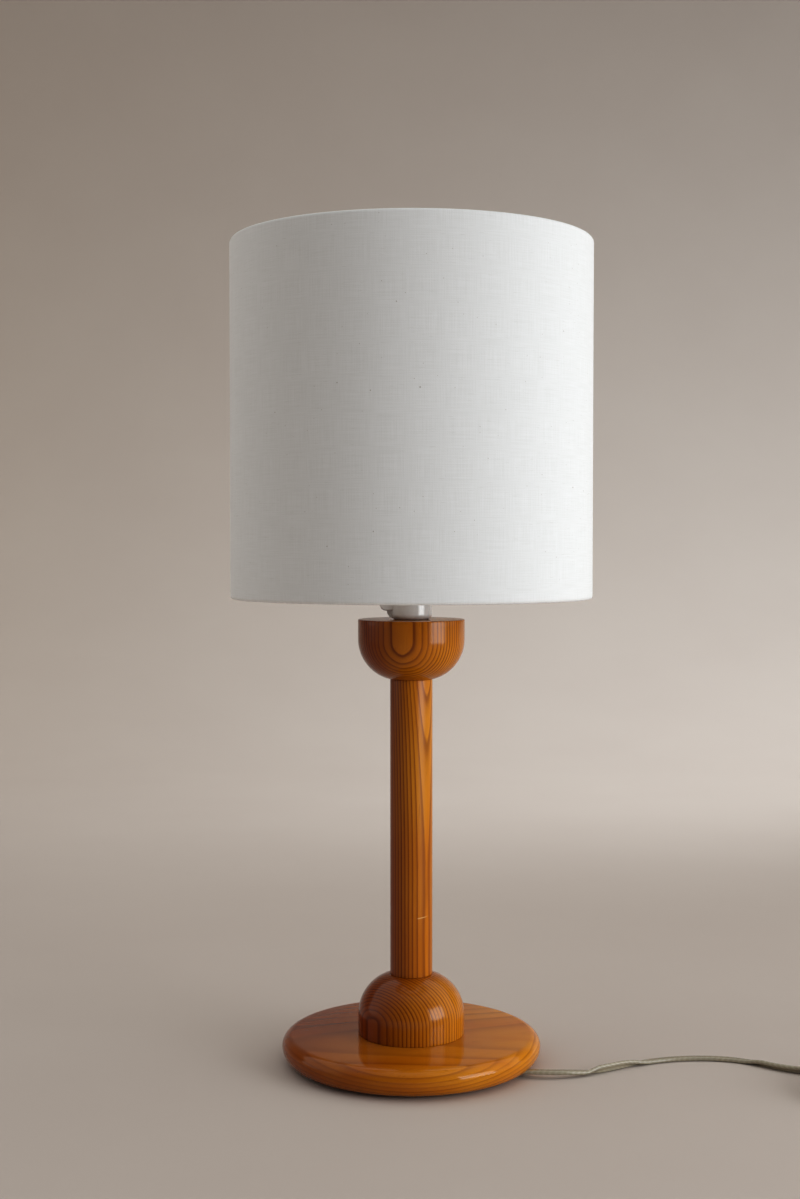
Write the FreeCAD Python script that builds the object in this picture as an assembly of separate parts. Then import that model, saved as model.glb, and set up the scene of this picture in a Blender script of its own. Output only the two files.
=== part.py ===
"""Column table lamp: a turned pine foot, dome, column and bowl, a small screw-in lamp holder with a rocker
switch, a straight fabric drum shade on a wire carrier, and a flat twin flex with a two-pin plug.

Millimetres, +Z up. The origin is the centre of the lamp's underside, on the table. The lamp is seen from -Y,
with the flex leaving at the right (+X) and the holder's switch at the left (-X).
"""

import FreeCAD, Part
import math
import os

Vector = FreeCAD.Vector
Z_AXIS = Vector(0, 0, 1)

os.makedirs("parts", exist_ok=True)

# ---------------------------------------------------------------- driving sizes
# foot
felt_radius = 76.5
felt_thickness = 1.5
base_radius = 90.3
base_thickness = 18.5
base_widest_height = 10.9        # of the rim's widest line, above the wood's underside
recess_radius = 41.0
recess_depth = 11.5

# turned wood above the foot: the dome and the bowl are the same turning, one upside down
turning_radius = 37.1
turning_height = 41.6
turning_band = 13.6              # the straight band before the round starts
seat_radius = 15.1               # flat that the column stands on
column_radius = 14.7
column_length = 206.5
edge_break = 0.5                 # sanded edges of the wood
rod_hole_radius = 5.4

# threaded tube and its nuts
rod_radius = 5.0
rod_bore_radius = 4.0
rod_below_nut = 0.5
nut_across_flats = 14.0
nut_height = 3.2
washer_radius = 11.0
washer_thickness = 1.6
lock_washer_radius = 8.5
lock_washer_thickness = 1.0
lock_washer_teeth = 12
bowl_counterbore_radius = 11.5
bowl_counterbore_depth = 6.2

# flat twin flex inside the lamp, its groove and clamp
flex_width = 5.6
flex_thickness = 2.8
flex_height = 4.4                # of the flex's middle where it leaves the foot
groove_side_room = 0.4
groove_top_room = 0.2
groove_heading = -8.0            # degrees from +X
groove_mouth = (80.4, -39.0)     # where the flex's middle leaves the rim
groove_length = 66.0             # from the mouth back to the flex's turn in the recess
flex_turn_radius = 22.0
flex_drop_radius = 5.0
clamp_from_mouth = 38.0
clamp_length = 20.0
clamp_width = 8.0
clamp_thickness = 1.3
clamp_screw_spacing = 13.0
clamp_screw_radius = 1.5
clamp_screw_length = 9.0

# lamp holder
holder_radius = 14.35
holder_wall = 1.8
holder_floor = 3.0
holder_cap_height = 29.0
holder_bottom_round = 3.6
boss_radius = 8.0
boss_height = 12.0
rod_into_holder = 11.0
lock_screw_radius = 1.5
lock_screw_height = 7.5          # above the holder's underside
collar_height = 2.3              # smooth collar of the upper sleeve, above the cap
flange_radius = 17.2
flange_thickness = 2.2
sleeve_inner_radius = 11.0
thread_radius = 14.0
thread_depth = 0.9
thread_pitch = 2.0
thread_turns = 8
sleeve_lip = 1.5
sleeve_mouth_radius = 9.4
spigot_length = 7.0
core_radius = 10.7
core_foot = 19.0                 # underside of the insulating core, above the holder's underside
core_top = 33.0
shell_inner_radius = 7.15
shell_thickness = 0.45
shell_height = 16.5
contact_width = 3.6
contact_thickness = 0.5
contact_rise = 2.2
tab_length = 4.8                 # of the contacts' tabs below the core
terminal_drop = 2.7
terminal_screw_radius = 1.2
terminal_screw_head = 2.2
terminal_screw_length = 2.0
core_wire_radius = 0.9
fit_gap = 0.15                   # clearance between pieces that fit into each other

# switch in the holder's side
switch_reach = 21.8              # outer face of the housing, from the axis
switch_half_width = 6.6
switch_foot = 6.3                # underside of the housing, above the holder's underside
switch_top = 27.2
switch_wall = 1.6
switch_round = 4.0
gusset_half_width = 4.0
gusset_reach = 3.0
gusset_foot = 1.2
rocker_pivot_depth = 2.0         # pivot behind the housing's outer face
rocker_pivot_height = 18.0
rocker_half_length = 5.8
rocker_half_width = 4.2
rocker_tilt = 7.0                # degrees to each side
rocker_pin_radius = 1.0
rocker_pin_gap = 0.04
seesaw_half_length = 4.0
seesaw_half_width = 2.0
seesaw_thickness = 0.6
seesaw_gap = 0.3
post_gap = 0.7
post_nose = 0.6

# bulb
bulb_length = 78.0
bulb_radius = 22.5
bulb_glass_thickness = 0.8
bulb_cap_radius = 6.95
bulb_cap_height = 25.0
bulb_collar_radius = 8.3
bulb_collar_height = 7.0
bulb_contact_gap = 0.3

# shade
shade_radius = 125.0
shade_height = 245.0
shade_recess = 19.0              # carrier ring's underside above the shade's lower edge
fabric_thickness = 0.6
liner_thickness = 0.5
shade_wire_radius = 1.6
hem_thickness = 0.6
hem_gap = 0.3
hem_leg = 6.0
carrier_outer_radius = 21.0
carrier_thickness = 1.6
arm_radius = 1.5
arm_count = 3
arm_slot_room = 0.35
ring_height = 6.0
ring_radius = 18.6
ring_grips = 18
ring_grip_radius = 1.3

# free flex: from the foot, across the table, into a tied coil, to the plug
flex_radius = flex_width / 2
coil_centre = (310.0, -78.0)
coil_outer_radius = 44.3
coil_turns = 7                   # over both layers
coil_step = 6.3                  # from turn to turn
coil_rise = 6.15                 # from layer to layer
coil_floor_gap = 1.3             # the tie passes under the coil
tie_thickness = 0.8
tie_width = 5.0
tie_room = 0.3
tie_tab = 12.0

# plug
plug_width = 35.3
plug_flat_width = 26.1
plug_height = 13.7
plug_face_length = 16.0
plug_waist_length = 14.0
plug_neck_radius = 4.4
plug_neck_length = 12.0
plug_neck_ribs = 4
plug_floor_gap = 0.1
pin_radius = 2.0
pin_core_radius = 1.5
pin_length = 19.0
pin_spacing = 18.2
pin_sleeve_length = 10.0
pin_root = 8.0                   # held inside the plug

# ---------------------------------------------------------------- heights that follow
base_underside = felt_thickness
base_top = base_underside + base_thickness
recess_ceiling = base_underside + recess_depth
dome_top = base_top + turning_height
column_top = dome_top + column_length
bowl_top = column_top + turning_height
holder_seat = bowl_top
flange_top = holder_seat + holder_cap_height + collar_height + flange_thickness
shade_bottom = flange_top - shade_recess
shade_top = shade_bottom + shade_height
sleeve_top = flange_top + thread_pitch * thread_turns + sleeve_lip


# ---------------------------------------------------------------- geometry helpers
def heading(degrees):
    """Unit vector in plan, degrees from +X."""
    angle = math.radians(degrees)
    return Vector(math.cos(angle), math.sin(angle), 0)


def cylinder(radius, low, high, x=0.0, y=0.0):
    return Part.makeCylinder(radius, high - low, Vector(x, y, low))


def ring(outer, inner, low, high):
    return cylinder(outer, low, high).cut(cylinder(inner, low, high))


def box(x_range, y_range, z_range):
    low = Vector(x_range[0], y_range[0], z_range[0])
    size = [end - start for start, end in (x_range, y_range, z_range)]
    return Part.makeBox(size[0], size[1], size[2], low)


def rod_between(start, end, radius):
    return Part.makeCylinder(radius, (end - start).Length, start, end - start)


def outline(start, *steps):
    """Closed wire in the XZ plane. A step is a point (x, z), or (middle point, end point) for an arc."""
    edges = []
    here = Vector(start[0], 0, start[1])
    first = here
    for step in steps:
        if isinstance(step[0], tuple):
            middle = Vector(step[0][0], 0, step[0][1])
            end = Vector(step[1][0], 0, step[1][1])
            edges.append(Part.Arc(here, middle, end).toShape())
        else:
            end = Vector(step[0], 0, step[1])
            edges.append(Part.LineSegment(here, end).toShape())
        here = end
    if (here - first).Length > 1e-6:
        edges.append(Part.LineSegment(here, first).toShape())
    return Part.Wire(edges)


def turned(start, *steps):
    """Solid of revolution about the Z axis."""
    return Part.Face(outline(start, *steps)).revolve(Vector(0, 0, 0), Z_AXIS, 360)


def arc_step(centre, radius, start_degrees, end_degrees):
    """Step of an outline: an arc about a centre, by its two angles."""
    middle = math.radians((start_degrees + end_degrees) / 2)
    end = math.radians(end_degrees)
    return (
        (centre[0] + radius * math.cos(middle), centre[1] + radius * math.sin(middle)),
        (centre[0] + radius * math.cos(end), centre[1] + radius * math.sin(end)),
    )


def hexagon_nut(low, height, bore):
    corner = nut_across_flats / math.sqrt(3)
    points = [heading(60 * k) * corner + Vector(0, 0, low) for k in range(6)]
    body = Part.Face(Part.makePolygon(points + points[:1])).extrude(Vector(0, 0, height))
    return body.cut(cylinder(bore, low, low + height))


def screw(head_radius, head_height, shank_radius, length, start, direction):
    """Slotted round-head screw. The head's underside is at start and the shank runs along direction."""
    head = Part.makeCylinder(head_radius, head_height, start - direction * head_height, direction)
    shank = Part.makeCylinder(shank_radius, length, start, direction)
    body = head.fuse(shank)
    slot = Part.makeBox(2.2 * head_radius, 0.24 * head_radius, 0.5 * head_height)
    slot.translate(Vector(-1.1 * head_radius, -0.12 * head_radius, -0.01))
    turn = FreeCAD.Rotation(Z_AXIS, direction)
    slot.Placement = FreeCAD.Placement(start - direction * head_height, turn).multiply(slot.Placement)
    return body.cut(slot)


def save(name, *solids):
    """Write one node. Every solid in it is a separate piece."""
    shape = solids[0] if len(solids) == 1 else Part.makeCompound(list(solids))
    if not shape.isValid():
        raise ValueError(name + " is not a valid shape")
    shape.exportStep("parts/" + name + ".step")
    return shape


# ---------------------------------------------------------------- paths of the flex
def tangent_arc_path(points, radii=None):
    """Straight runs joined by tangent arcs. Each arc's radius is 0.45 of its shorter run over the tangent of
    half the turn, or the one given for that corner. Returns the wire, its length and the radii."""
    edges = []
    used = []
    here = points[0]
    for index in range(1, len(points) - 1):
        before = points[index] - points[index - 1]
        after = points[index + 1] - points[index]
        half_turn = before.getAngle(after) / 2
        radius = 0.45 * min(before.Length, after.Length) / math.tan(half_turn)
        if radii and radii[index - 1]:
            radius = radii[index - 1]
        used.append(radius)
        trim = radius * math.tan(half_turn)
        start = points[index] - before.normalize() * trim
        end = points[index] + after.normalize() * trim
        to_centre = ((start + end) * 0.5 - points[index]).normalize()
        middle = points[index] + to_centre * (radius / math.cos(half_turn) - radius)
        edges.append(Part.LineSegment(here, start).toShape())
        edges.append(Part.Arc(start, middle, end).toShape())
        here = end
    edges.append(Part.LineSegment(here, points[-1]).toShape())
    wire = Part.Wire(edges)
    return wire, wire.Length, used


def round_tube(wire, start, direction, radius):
    """Round tube along a wire, in the pipe's default mode."""
    section = Part.Wire(Part.makeCircle(radius, start, direction))
    return wire.makePipeShell([section], True, False)


def report_tube(name, solid, length, area, radii):
    print(
        name,
        "length", round(length, 1),
        "volume", round(solid.Volume),
        "section x length", round(area * length),
        "smallest radius", round(min(radii), 1),
    )


# ================================================================ foot
felt_pad = save("felt_pad", cylinder(felt_radius, 0, felt_thickness))


def base_shape():
    top_round = base_thickness - base_widest_height
    widest = base_underside + base_widest_height
    return turned(
        (0, base_underside),
        (base_radius - base_widest_height, base_underside),
        arc_step((base_radius - base_widest_height, widest), base_widest_height, -90, 0),
        arc_step((base_radius - top_round, widest), top_round, 0, 90),
        (0, base_top),
    )


groove_direction = heading(groove_heading)
groove_side = heading(groove_heading + 90)
mouth = Vector(groove_mouth[0], groove_mouth[1], flex_height)
flex_turn = mouth - groove_direction * groove_length


def along_groove(distance, side, low, high, length, width):
    """Box whose long side follows the groove. distance is its middle, measured back from the mouth."""
    middle = mouth - groove_direction * distance + groove_side * side
    block = Part.makeBox(length, width, high - low, Vector(-length / 2, -width / 2, low))
    place = FreeCAD.Placement(Vector(middle.x, middle.y, 0), FreeCAD.Rotation(Z_AXIS, groove_heading))
    block.Placement = place.multiply(block.Placement)
    return block


groove_width = flex_width + 2 * groove_side_room
groove_top = flex_height + flex_thickness / 2 + groove_top_room
groove_overrun = base_radius
clamp_top = flex_height - flex_thickness / 2 - 0.1
clamp_underside = clamp_top - clamp_thickness
clamp_at = mouth - groove_direction * clamp_from_mouth
clamp_screw_places = [
    clamp_at + groove_side * (side * clamp_screw_spacing / 2) for side in (-1, 1)
]

base = base_shape()
base = base.cut(cylinder(recess_radius, base_underside, recess_ceiling))
base = base.cut(cylinder(rod_hole_radius, base_underside, base_top))
base = base.cut(
    along_groove(
        groove_length / 2 - groove_overrun / 2, 0, 0, groove_top, groove_length + groove_overrun, groove_width
    )
)
base = base.cut(
    along_groove(
        clamp_from_mouth, 0, 0, clamp_top + 0.1, clamp_width + 1.0, clamp_length + 1.0
    )
)
for place in clamp_screw_places:
    base = base.cut(cylinder(clamp_screw_radius + 0.05, 0, clamp_top + clamp_screw_length, place.x, place.y))
save("base_disc", base)

clamp = along_groove(clamp_from_mouth, 0, clamp_underside, clamp_top, clamp_width, clamp_length)
for place in clamp_screw_places:
    clamp = clamp.cut(cylinder(clamp_screw_radius + 0.1, 0, base_top, place.x, place.y))
    clamp = clamp.cut(
        Part.makeCone(2 * clamp_screw_radius, clamp_screw_radius, 1.0, Vector(place.x, place.y, clamp_underside))
    )
save("flex_clamp", clamp)


def clamp_screw(place):
    head = Part.makeCone(
        2 * clamp_screw_radius - 0.1, clamp_screw_radius, 1.0, Vector(place.x, place.y, clamp_underside)
    )
    thread = cylinder(
        clamp_screw_radius, clamp_underside + 1.0, clamp_top + clamp_screw_length - 1.5, place.x, place.y
    )
    point = Part.makeCone(
        clamp_screw_radius, 0.3, 1.5, Vector(place.x, place.y, clamp_top + clamp_screw_length - 1.5)
    )
    slot = box(
        (place.x - 3, place.x + 3),
        (place.y - 0.3, place.y + 0.3),
        (clamp_underside - 0.1, clamp_underside + 0.5),
    )
    return head.fuse([thread, point]).cut(slot)


save("clamp_screws", *[clamp_screw(place) for place in clamp_screw_places])


# ================================================================ turned column
def turning(bottom, upside_down):
    """Dome with a straight band, a round that ends on a flat seat for the column, and a hole for the rod.
    Upside down it is the bowl."""
    run = turning_radius - seat_radius
    rise = turning_height - turning_band
    round_radius = (run * run + rise * rise) / (2 * run)
    centre = (turning_radius - round_radius, turning_band)
    seat_angle = math.degrees(math.atan2(rise, seat_radius - centre[0]))
    shape = turned(
        (rod_hole_radius, 0),
        (turning_radius - edge_break, 0),
        (turning_radius, edge_break),
        (turning_radius, turning_band),
        arc_step(centre, round_radius, 0, seat_angle),
        (rod_hole_radius, turning_height),
    )
    if upside_down:
        shape.rotate(Vector(0, 0, turning_height / 2), Vector(1, 0, 0), 180)
    shape.translate(Vector(0, 0, bottom))
    return shape


save("lower_dome", turning(base_top, False))

column = turned(
    (rod_hole_radius, dome_top),
    (column_radius - edge_break, dome_top),
    (column_radius, dome_top + edge_break),
    (column_radius, column_top - edge_break),
    (column_radius - edge_break, column_top),
    (rod_hole_radius, column_top),
)
save("column", column)

counterbore_floor = bowl_top - bowl_counterbore_depth
bowl = turning(column_top, True)
bowl = bowl.cut(cylinder(bowl_counterbore_radius, counterbore_floor, bowl_top))
save("upper_bowl", bowl)

# ================================================================ threaded tube, nuts and washers
lower_washer_bottom = recess_ceiling - washer_thickness
lock_washer_bottom = lower_washer_bottom - lock_washer_thickness
lower_nut_bottom = lock_washer_bottom - nut_height
rod_bottom = lower_nut_bottom - rod_below_nut
rod_top = holder_seat + rod_into_holder
nut_bore = rod_radius + 0.05

save("threaded_rod", ring(rod_radius, rod_bore_radius, rod_bottom, rod_top))
save("lower_washer", ring(washer_radius, nut_bore, lower_washer_bottom, recess_ceiling))
save("lower_nut", hexagon_nut(lower_nut_bottom, nut_height, nut_bore))

lock_washer = ring(lock_washer_radius, nut_bore, lock_washer_bottom, lower_washer_bottom)
for tooth in range(lock_washer_teeth):
    notch = heading(360 * tooth / lock_washer_teeth) * lock_washer_radius
    lock_washer = lock_washer.cut(
        cylinder(0.8, lock_washer_bottom, lower_washer_bottom, notch.x, notch.y)
    )
save("lock_washer", lock_washer)

save("upper_washer", ring(washer_radius, nut_bore, counterbore_floor, counterbore_floor + washer_thickness))
save("upper_nut", hexagon_nut(counterbore_floor + washer_thickness, nut_height, nut_bore))

# ================================================================ flex inside the lamp
cores_split = rod_top - 2.0
inner_points = [
    Vector(0, 0, cores_split),
    Vector(0, 0, flex_height),
    flex_turn,
    mouth,
]


def flat_section(centre, wide, thin):
    """Racetrack outline of the flat flex: wide and thin are its unit directions."""
    half = (flex_width - flex_thickness) / 2
    radius = flex_thickness / 2
    corners = [
        centre + wide * (sx * half) + thin * (sy * radius)
        for sx, sy in ((-1, -1), (1, -1), (1, 1), (-1, 1))
    ]
    ends = [centre + wide * (side * flex_width / 2) for side in (1, -1)]
    return Part.Wire(
        [
            Part.LineSegment(corners[0], corners[1]).toShape(),
            Part.Arc(corners[1], ends[0], corners[2]).toShape(),
            Part.LineSegment(corners[2], corners[3]).toShape(),
            Part.Arc(corners[3], ends[1], corners[0]).toShape(),
        ]
    )


inner_wire, inner_length, inner_radii = tangent_arc_path(
    inner_points, [flex_drop_radius, flex_turn_radius]
)
first_heading = Vector(flex_turn.x, flex_turn.y, 0).normalize()
inner_section = flat_section(inner_points[0], Z_AXIS.cross(first_heading), first_heading)
inner_flex = inner_wire.makePipeShell([inner_section], True, False)
save("flex_inside", inner_flex)
section_area = (flex_width - flex_thickness) * flex_thickness + math.pi * flex_thickness**2 / 4
report_tube("flex_inside", inner_flex, inner_length, section_area, inner_radii)

# ================================================================ lamp holder
cap_top = holder_seat + holder_cap_height
cavity_radius = holder_radius - holder_wall
cavity_floor = holder_seat + holder_floor
pivot = Vector(-(switch_reach - rocker_pivot_depth), 0, holder_seat + rocker_pivot_height)
window_half_height = rocker_half_length + 1.0
window_half_width = rocker_half_width + 0.4


def switch_housing():
    """Rounded box on the cap's left side, with a small curved gusset under it."""
    body = box(
        (-switch_reach, 0),
        (-switch_half_width, switch_half_width),
        (holder_seat + switch_foot, holder_seat + switch_top),
    )
    edges = [
        edge
        for edge in body.Edges
        if edge.BoundBox.XMax < -switch_reach + 0.01 and edge.BoundBox.ZMax < holder_seat + switch_foot + 0.01
    ]
    body = body.makeFillet(switch_round, edges)
    under = holder_seat + switch_foot
    foot = holder_seat + gusset_foot
    reach = -(holder_radius + gusset_reach)
    bend = (-(holder_radius + 0.36 * gusset_reach), under - 0.36 * (under - foot))
    gusset = Part.Face(outline((0, foot), (-holder_radius, foot), (bend, (reach, under)), (0, under)))
    gusset = gusset.extrude(Vector(0, 2 * gusset_half_width, 0))
    gusset.translate(Vector(0, -gusset_half_width, 0))
    return body.fuse(gusset)


cap = turned(
    (0, holder_seat),
    (holder_radius - holder_bottom_round, holder_seat),
    arc_step(
        (holder_radius - holder_bottom_round, holder_seat + holder_bottom_round),
        holder_bottom_round,
        -90,
        0,
    ),
    (holder_radius, cap_top),
    (0, cap_top),
)
cap = cap.fuse(switch_housing())
cap = cap.cut(cylinder(cavity_radius, cavity_floor, cap_top))
cap = cap.cut(
    box(
        (-(switch_reach - switch_wall), 0),
        (-(switch_half_width - switch_wall), switch_half_width - switch_wall),
        (holder_seat + switch_foot + switch_wall, holder_seat + switch_top - switch_wall),
    )
)
cap = cap.cut(
    box(
        (-2 * switch_reach, -(switch_reach - 2 * switch_wall)),
        (-window_half_width, window_half_width),
        (pivot.z - window_half_height, pivot.z + window_half_height),
    )
)
cap = cap.fuse(cylinder(boss_radius, holder_seat, holder_seat + boss_height))
cap = cap.cut(cylinder(rod_radius + 0.05, holder_seat, holder_seat + boss_height))
pin_reach = switch_half_width - 0.4
cap = cap.cut(
    rod_between(
        pivot - Vector(0, pin_reach, 0), pivot + Vector(0, pin_reach, 0), rocker_pin_radius
    )
)
lock_screw_start = Vector(0, holder_radius, holder_seat + lock_screw_height)
cap = cap.cut(
    rod_between(lock_screw_start, Vector(0, rod_radius, lock_screw_start.z), lock_screw_radius + 0.05)
)
save("holder_cap", cap.removeSplitter())

lock_screw = rod_between(
    Vector(0, holder_radius - 1.0, lock_screw_start.z),
    Vector(0, rod_radius + 0.1, lock_screw_start.z),
    lock_screw_radius,
)
lock_slot = box(
    (-2, 2),
    (holder_radius - 1.8, holder_radius),
    (lock_screw_start.z - 0.25, lock_screw_start.z + 0.25),
)
save("holder_lock_screw", lock_screw.cut(lock_slot))


def sleeve():
    """Upper half of the holder: spigot, collar, flange for the shade, thread for its ring, and the mouth."""
    spigot_radius = cavity_radius - fit_gap
    flange_bottom = flange_top - flange_thickness
    steps = [
        (spigot_radius, cap_top - spigot_length),
        (spigot_radius, cap_top),
        (holder_radius, cap_top),
        (holder_radius, flange_bottom),
        (flange_radius, flange_bottom),
        (flange_radius, flange_top),
        (thread_radius - thread_depth, flange_top),
    ]
    for turn in range(thread_turns):
        low = flange_top + turn * thread_pitch
        steps += [
            (thread_radius - thread_depth, low + 0.15 * thread_pitch),
            (thread_radius, low + 0.45 * thread_pitch),
            (thread_radius, low + 0.65 * thread_pitch),
            (thread_radius - thread_depth, low + 0.95 * thread_pitch),
        ]
    steps += [
        (thread_radius - thread_depth, sleeve_top),
        (sleeve_mouth_radius, sleeve_top),
        (sleeve_mouth_radius, sleeve_top - sleeve_lip),
        (sleeve_inner_radius, sleeve_top - sleeve_lip),
        (sleeve_inner_radius, cap_top - spigot_length),
    ]
    return turned((sleeve_inner_radius, cap_top - spigot_length), *steps)


save("holder_sleeve", sleeve())

core_bottom = holder_seat + core_foot
core_upper = holder_seat + core_top
contact_x = core_radius - 3.0
slot_room = 0.1


def contact_slot(x_low, x_high, low, high):
    half = contact_width / 2 + slot_room
    return box((x_low - slot_room, x_high + slot_room), (-half, half), (low, high))


core = cylinder(core_radius, core_bottom, core_upper)
core = core.cut(contact_slot(contact_x, contact_x + contact_thickness, core_bottom, core_upper))
core = core.cut(contact_slot(-contact_x - contact_thickness, -contact_x, core_bottom, core_upper))
core = core.cut(
    contact_slot(-contact_x - contact_thickness, contact_width / 2, core_upper - contact_thickness, core_upper)
)
save("holder_core", core)

shell_outer_radius = shell_inner_radius + shell_thickness
shell = ring(shell_outer_radius, shell_inner_radius, core_upper, core_upper + shell_height)
shell_tab = box(
    (shell_inner_radius + 0.5 * shell_thickness, contact_x + contact_thickness),
    (-contact_width / 2, contact_width / 2),
    (core_upper, core_upper + contact_thickness),
)
shell_leg = box(
    (contact_x, contact_x + contact_thickness),
    (-contact_width / 2, contact_width / 2),
    (core_bottom - tab_length, core_upper + contact_thickness),
)
terminal_height = core_bottom - terminal_drop
terminal_hole = rod_between(
    Vector(-core_radius, 0, terminal_height),
    Vector(core_radius, 0, terminal_height),
    terminal_screw_radius + 0.1,
)
save("screw_shell", shell.fuse([shell_tab, shell_leg]).cut(terminal_hole))

tongue_top = core_upper + contact_rise
tongue_floor = core_upper - contact_thickness
tongue_leg = box(
    (-contact_x - contact_thickness, -contact_x),
    (-contact_width / 2, contact_width / 2),
    (core_bottom - tab_length, core_upper),
)
tongue_strip = box(
    (-contact_x - contact_thickness, contact_width / 2),
    (-contact_width / 2, contact_width / 2),
    (tongue_floor, core_upper),
)
tongue_arch = Part.Face(
    outline(
        (contact_width / 2, tongue_floor),
        (contact_width / 2, core_upper),
        (0.6, tongue_top),
        (-0.6, tongue_top),
        (-contact_width, core_upper),
        (-contact_width + contact_thickness, tongue_floor),
    )
).extrude(Vector(0, contact_width, 0))
tongue_arch.translate(Vector(0, -contact_width / 2, 0))
tongue = tongue_leg.fuse([tongue_strip, tongue_arch]).cut(terminal_hole)
save("centre_contact", tongue.removeSplitter())


def terminal_screw(side):
    start = Vector(side * (contact_x + contact_thickness + 0.05), 0, terminal_height)
    return screw(
        terminal_screw_head,
        1.2,
        terminal_screw_radius,
        terminal_screw_length,
        start,
        Vector(-side, 0, 0),
    )


save("terminal_screws", *[terminal_screw(side) for side in (-1, 1)])

# ---------------------------------------------------------------- switch
save(
    "rocker_pin",
    rod_between(
        pivot - Vector(0, pin_reach - 0.05, 0),
        pivot + Vector(0, pin_reach - 0.05, 0),
        rocker_pin_radius - rocker_pin_gap,
    ),
)


def switch_rocker():
    """Rocker with a shallow V face and an inner nose, stored with its upper half standing out."""
    out = rocker_pivot_depth
    length = rocker_half_length
    face = outline(
        (-out - 1.1, -length),
        (-out - 0.4, 0),
        (-out - 1.1, length),
        (-out + 1.6, length),
        (1.6, 2.4),
        (2.6, 0.7),
        (2.6, -0.7),
        (1.6, -2.4),
        (-out + 1.6, -length),
    )
    body = Part.Face(face).extrude(Vector(0, 2 * rocker_half_width, 0))
    body.translate(pivot - Vector(0, rocker_half_width, 0))
    hole = rod_between(
        pivot - Vector(0, rocker_half_width, 0),
        pivot + Vector(0, rocker_half_width, 0),
        rocker_pin_radius + rocker_pin_gap,
    )
    body = body.cut(hole)
    body.rotate(pivot, Vector(0, 1, 0), -rocker_tilt)
    return body


save("switch_rocker", switch_rocker())

seesaw_x = pivot.x + 2.6 + seesaw_gap
seesaw = box(
    (seesaw_x, seesaw_x + seesaw_thickness),
    (-seesaw_half_width, seesaw_half_width),
    (pivot.z - seesaw_half_length, pivot.z + seesaw_half_length),
)
seesaw_pivot = Vector(seesaw_x + seesaw_thickness, 0, pivot.z)
seesaw.rotate(seesaw_pivot, Vector(0, 1, 0), rocker_tilt)
save("switch_seesaw", seesaw)

post_x = seesaw_x + seesaw_thickness + post_gap
switch_post = box(
    (post_x, post_x + 1.0),
    (-seesaw_half_width, seesaw_half_width),
    (holder_seat + switch_foot + switch_wall, pivot.z),
)
switch_knife = Part.Face(
    outline(
        (post_x, pivot.z - 1.2),
        (post_x - post_nose, pivot.z),
        (post_x, pivot.z + 1.2),
        (post_x + 1.0, pivot.z + 1.2),
        (post_x + 1.0, pivot.z - 1.2),
    )
).extrude(Vector(0, 2 * seesaw_half_width, 0))
switch_knife.translate(Vector(0, -seesaw_half_width, 0))
save("switch_post", switch_post.fuse(switch_knife).removeSplitter())

# ---------------------------------------------------------------- the flex's two cores, up to the terminals
def core_wire(side):
    """One insulated core from the split end of the flex to its terminal."""
    start = Vector(0, side * 1.4, cores_split)
    end = Vector(
        side * (contact_x - core_wire_radius - 0.2), 0, terminal_height - terminal_screw_radius - 1.1
    )
    points = [
        start,
        start + Vector(0, 0, 3.6),
        Vector(0.6 * end.x, side * 0.7, end.z - 0.2),
        end,
    ]
    wire, length, radii = tangent_arc_path(points)
    return round_tube(wire, start, Z_AXIS, core_wire_radius), length, radii


wires = [core_wire(side) for side in (-1, 1)]
save("core_wires", *[solid for solid, length, radii in wires])
for solid, length, radii in wires:
    report_tube("core_wire", solid, length, math.pi * core_wire_radius**2, radii)

# ================================================================ bulb
bulb_tip = tongue_top + bulb_contact_gap
cap_end = bulb_tip + bulb_cap_height
glass_centre = bulb_tip + bulb_length - bulb_radius
collar_start = cap_end - bulb_collar_height

save(
    "bulb_cap",
    turned(
        (0, bulb_tip),
        (2.4, bulb_tip),
        (2.4, bulb_tip + 0.8),
        (bulb_cap_radius - 0.8, bulb_tip + 3.2),
        (bulb_cap_radius, bulb_tip + 4.2),
        (bulb_cap_radius, collar_start - 1.5),
        (bulb_collar_radius - 0.5, collar_start + 1.0),
        (bulb_collar_radius, cap_end),
        (bulb_collar_radius - 0.6, cap_end),
        (bulb_collar_radius - 1.2, collar_start + 1.0),
        (0, collar_start + 1.0),
    ),
)


def envelope(radius, neck_radius, neck_height):
    """Steps of the glass bulb's outline: up from the neck, tangent to the ball, to the top on the axis."""
    drop = neck_height - glass_centre
    reach = math.hypot(neck_radius, drop)
    angle = math.degrees(math.atan2(drop, neck_radius) + math.acos(radius / reach))
    touch = (
        radius * math.cos(math.radians(angle)),
        glass_centre + radius * math.sin(math.radians(angle)),
    )
    return touch, arc_step((0, glass_centre), radius, angle, 90)


neck_radius = bulb_collar_radius - 0.75
neck_height = collar_start + 1.6
inner_neck = neck_radius - bulb_glass_thickness
outer_touch, outer_arc = envelope(bulb_radius, neck_radius, cap_end)
inner_touch, inner_arc = envelope(bulb_radius - bulb_glass_thickness, inner_neck, cap_end)
outer_glass = turned((0, cap_end), (neck_radius, cap_end), outer_touch, outer_arc)
inner_glass = turned((0, cap_end), (inner_neck, cap_end), inner_touch, inner_arc)
glass = outer_glass.cut(inner_glass)
save("bulb_glass", glass)

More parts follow.
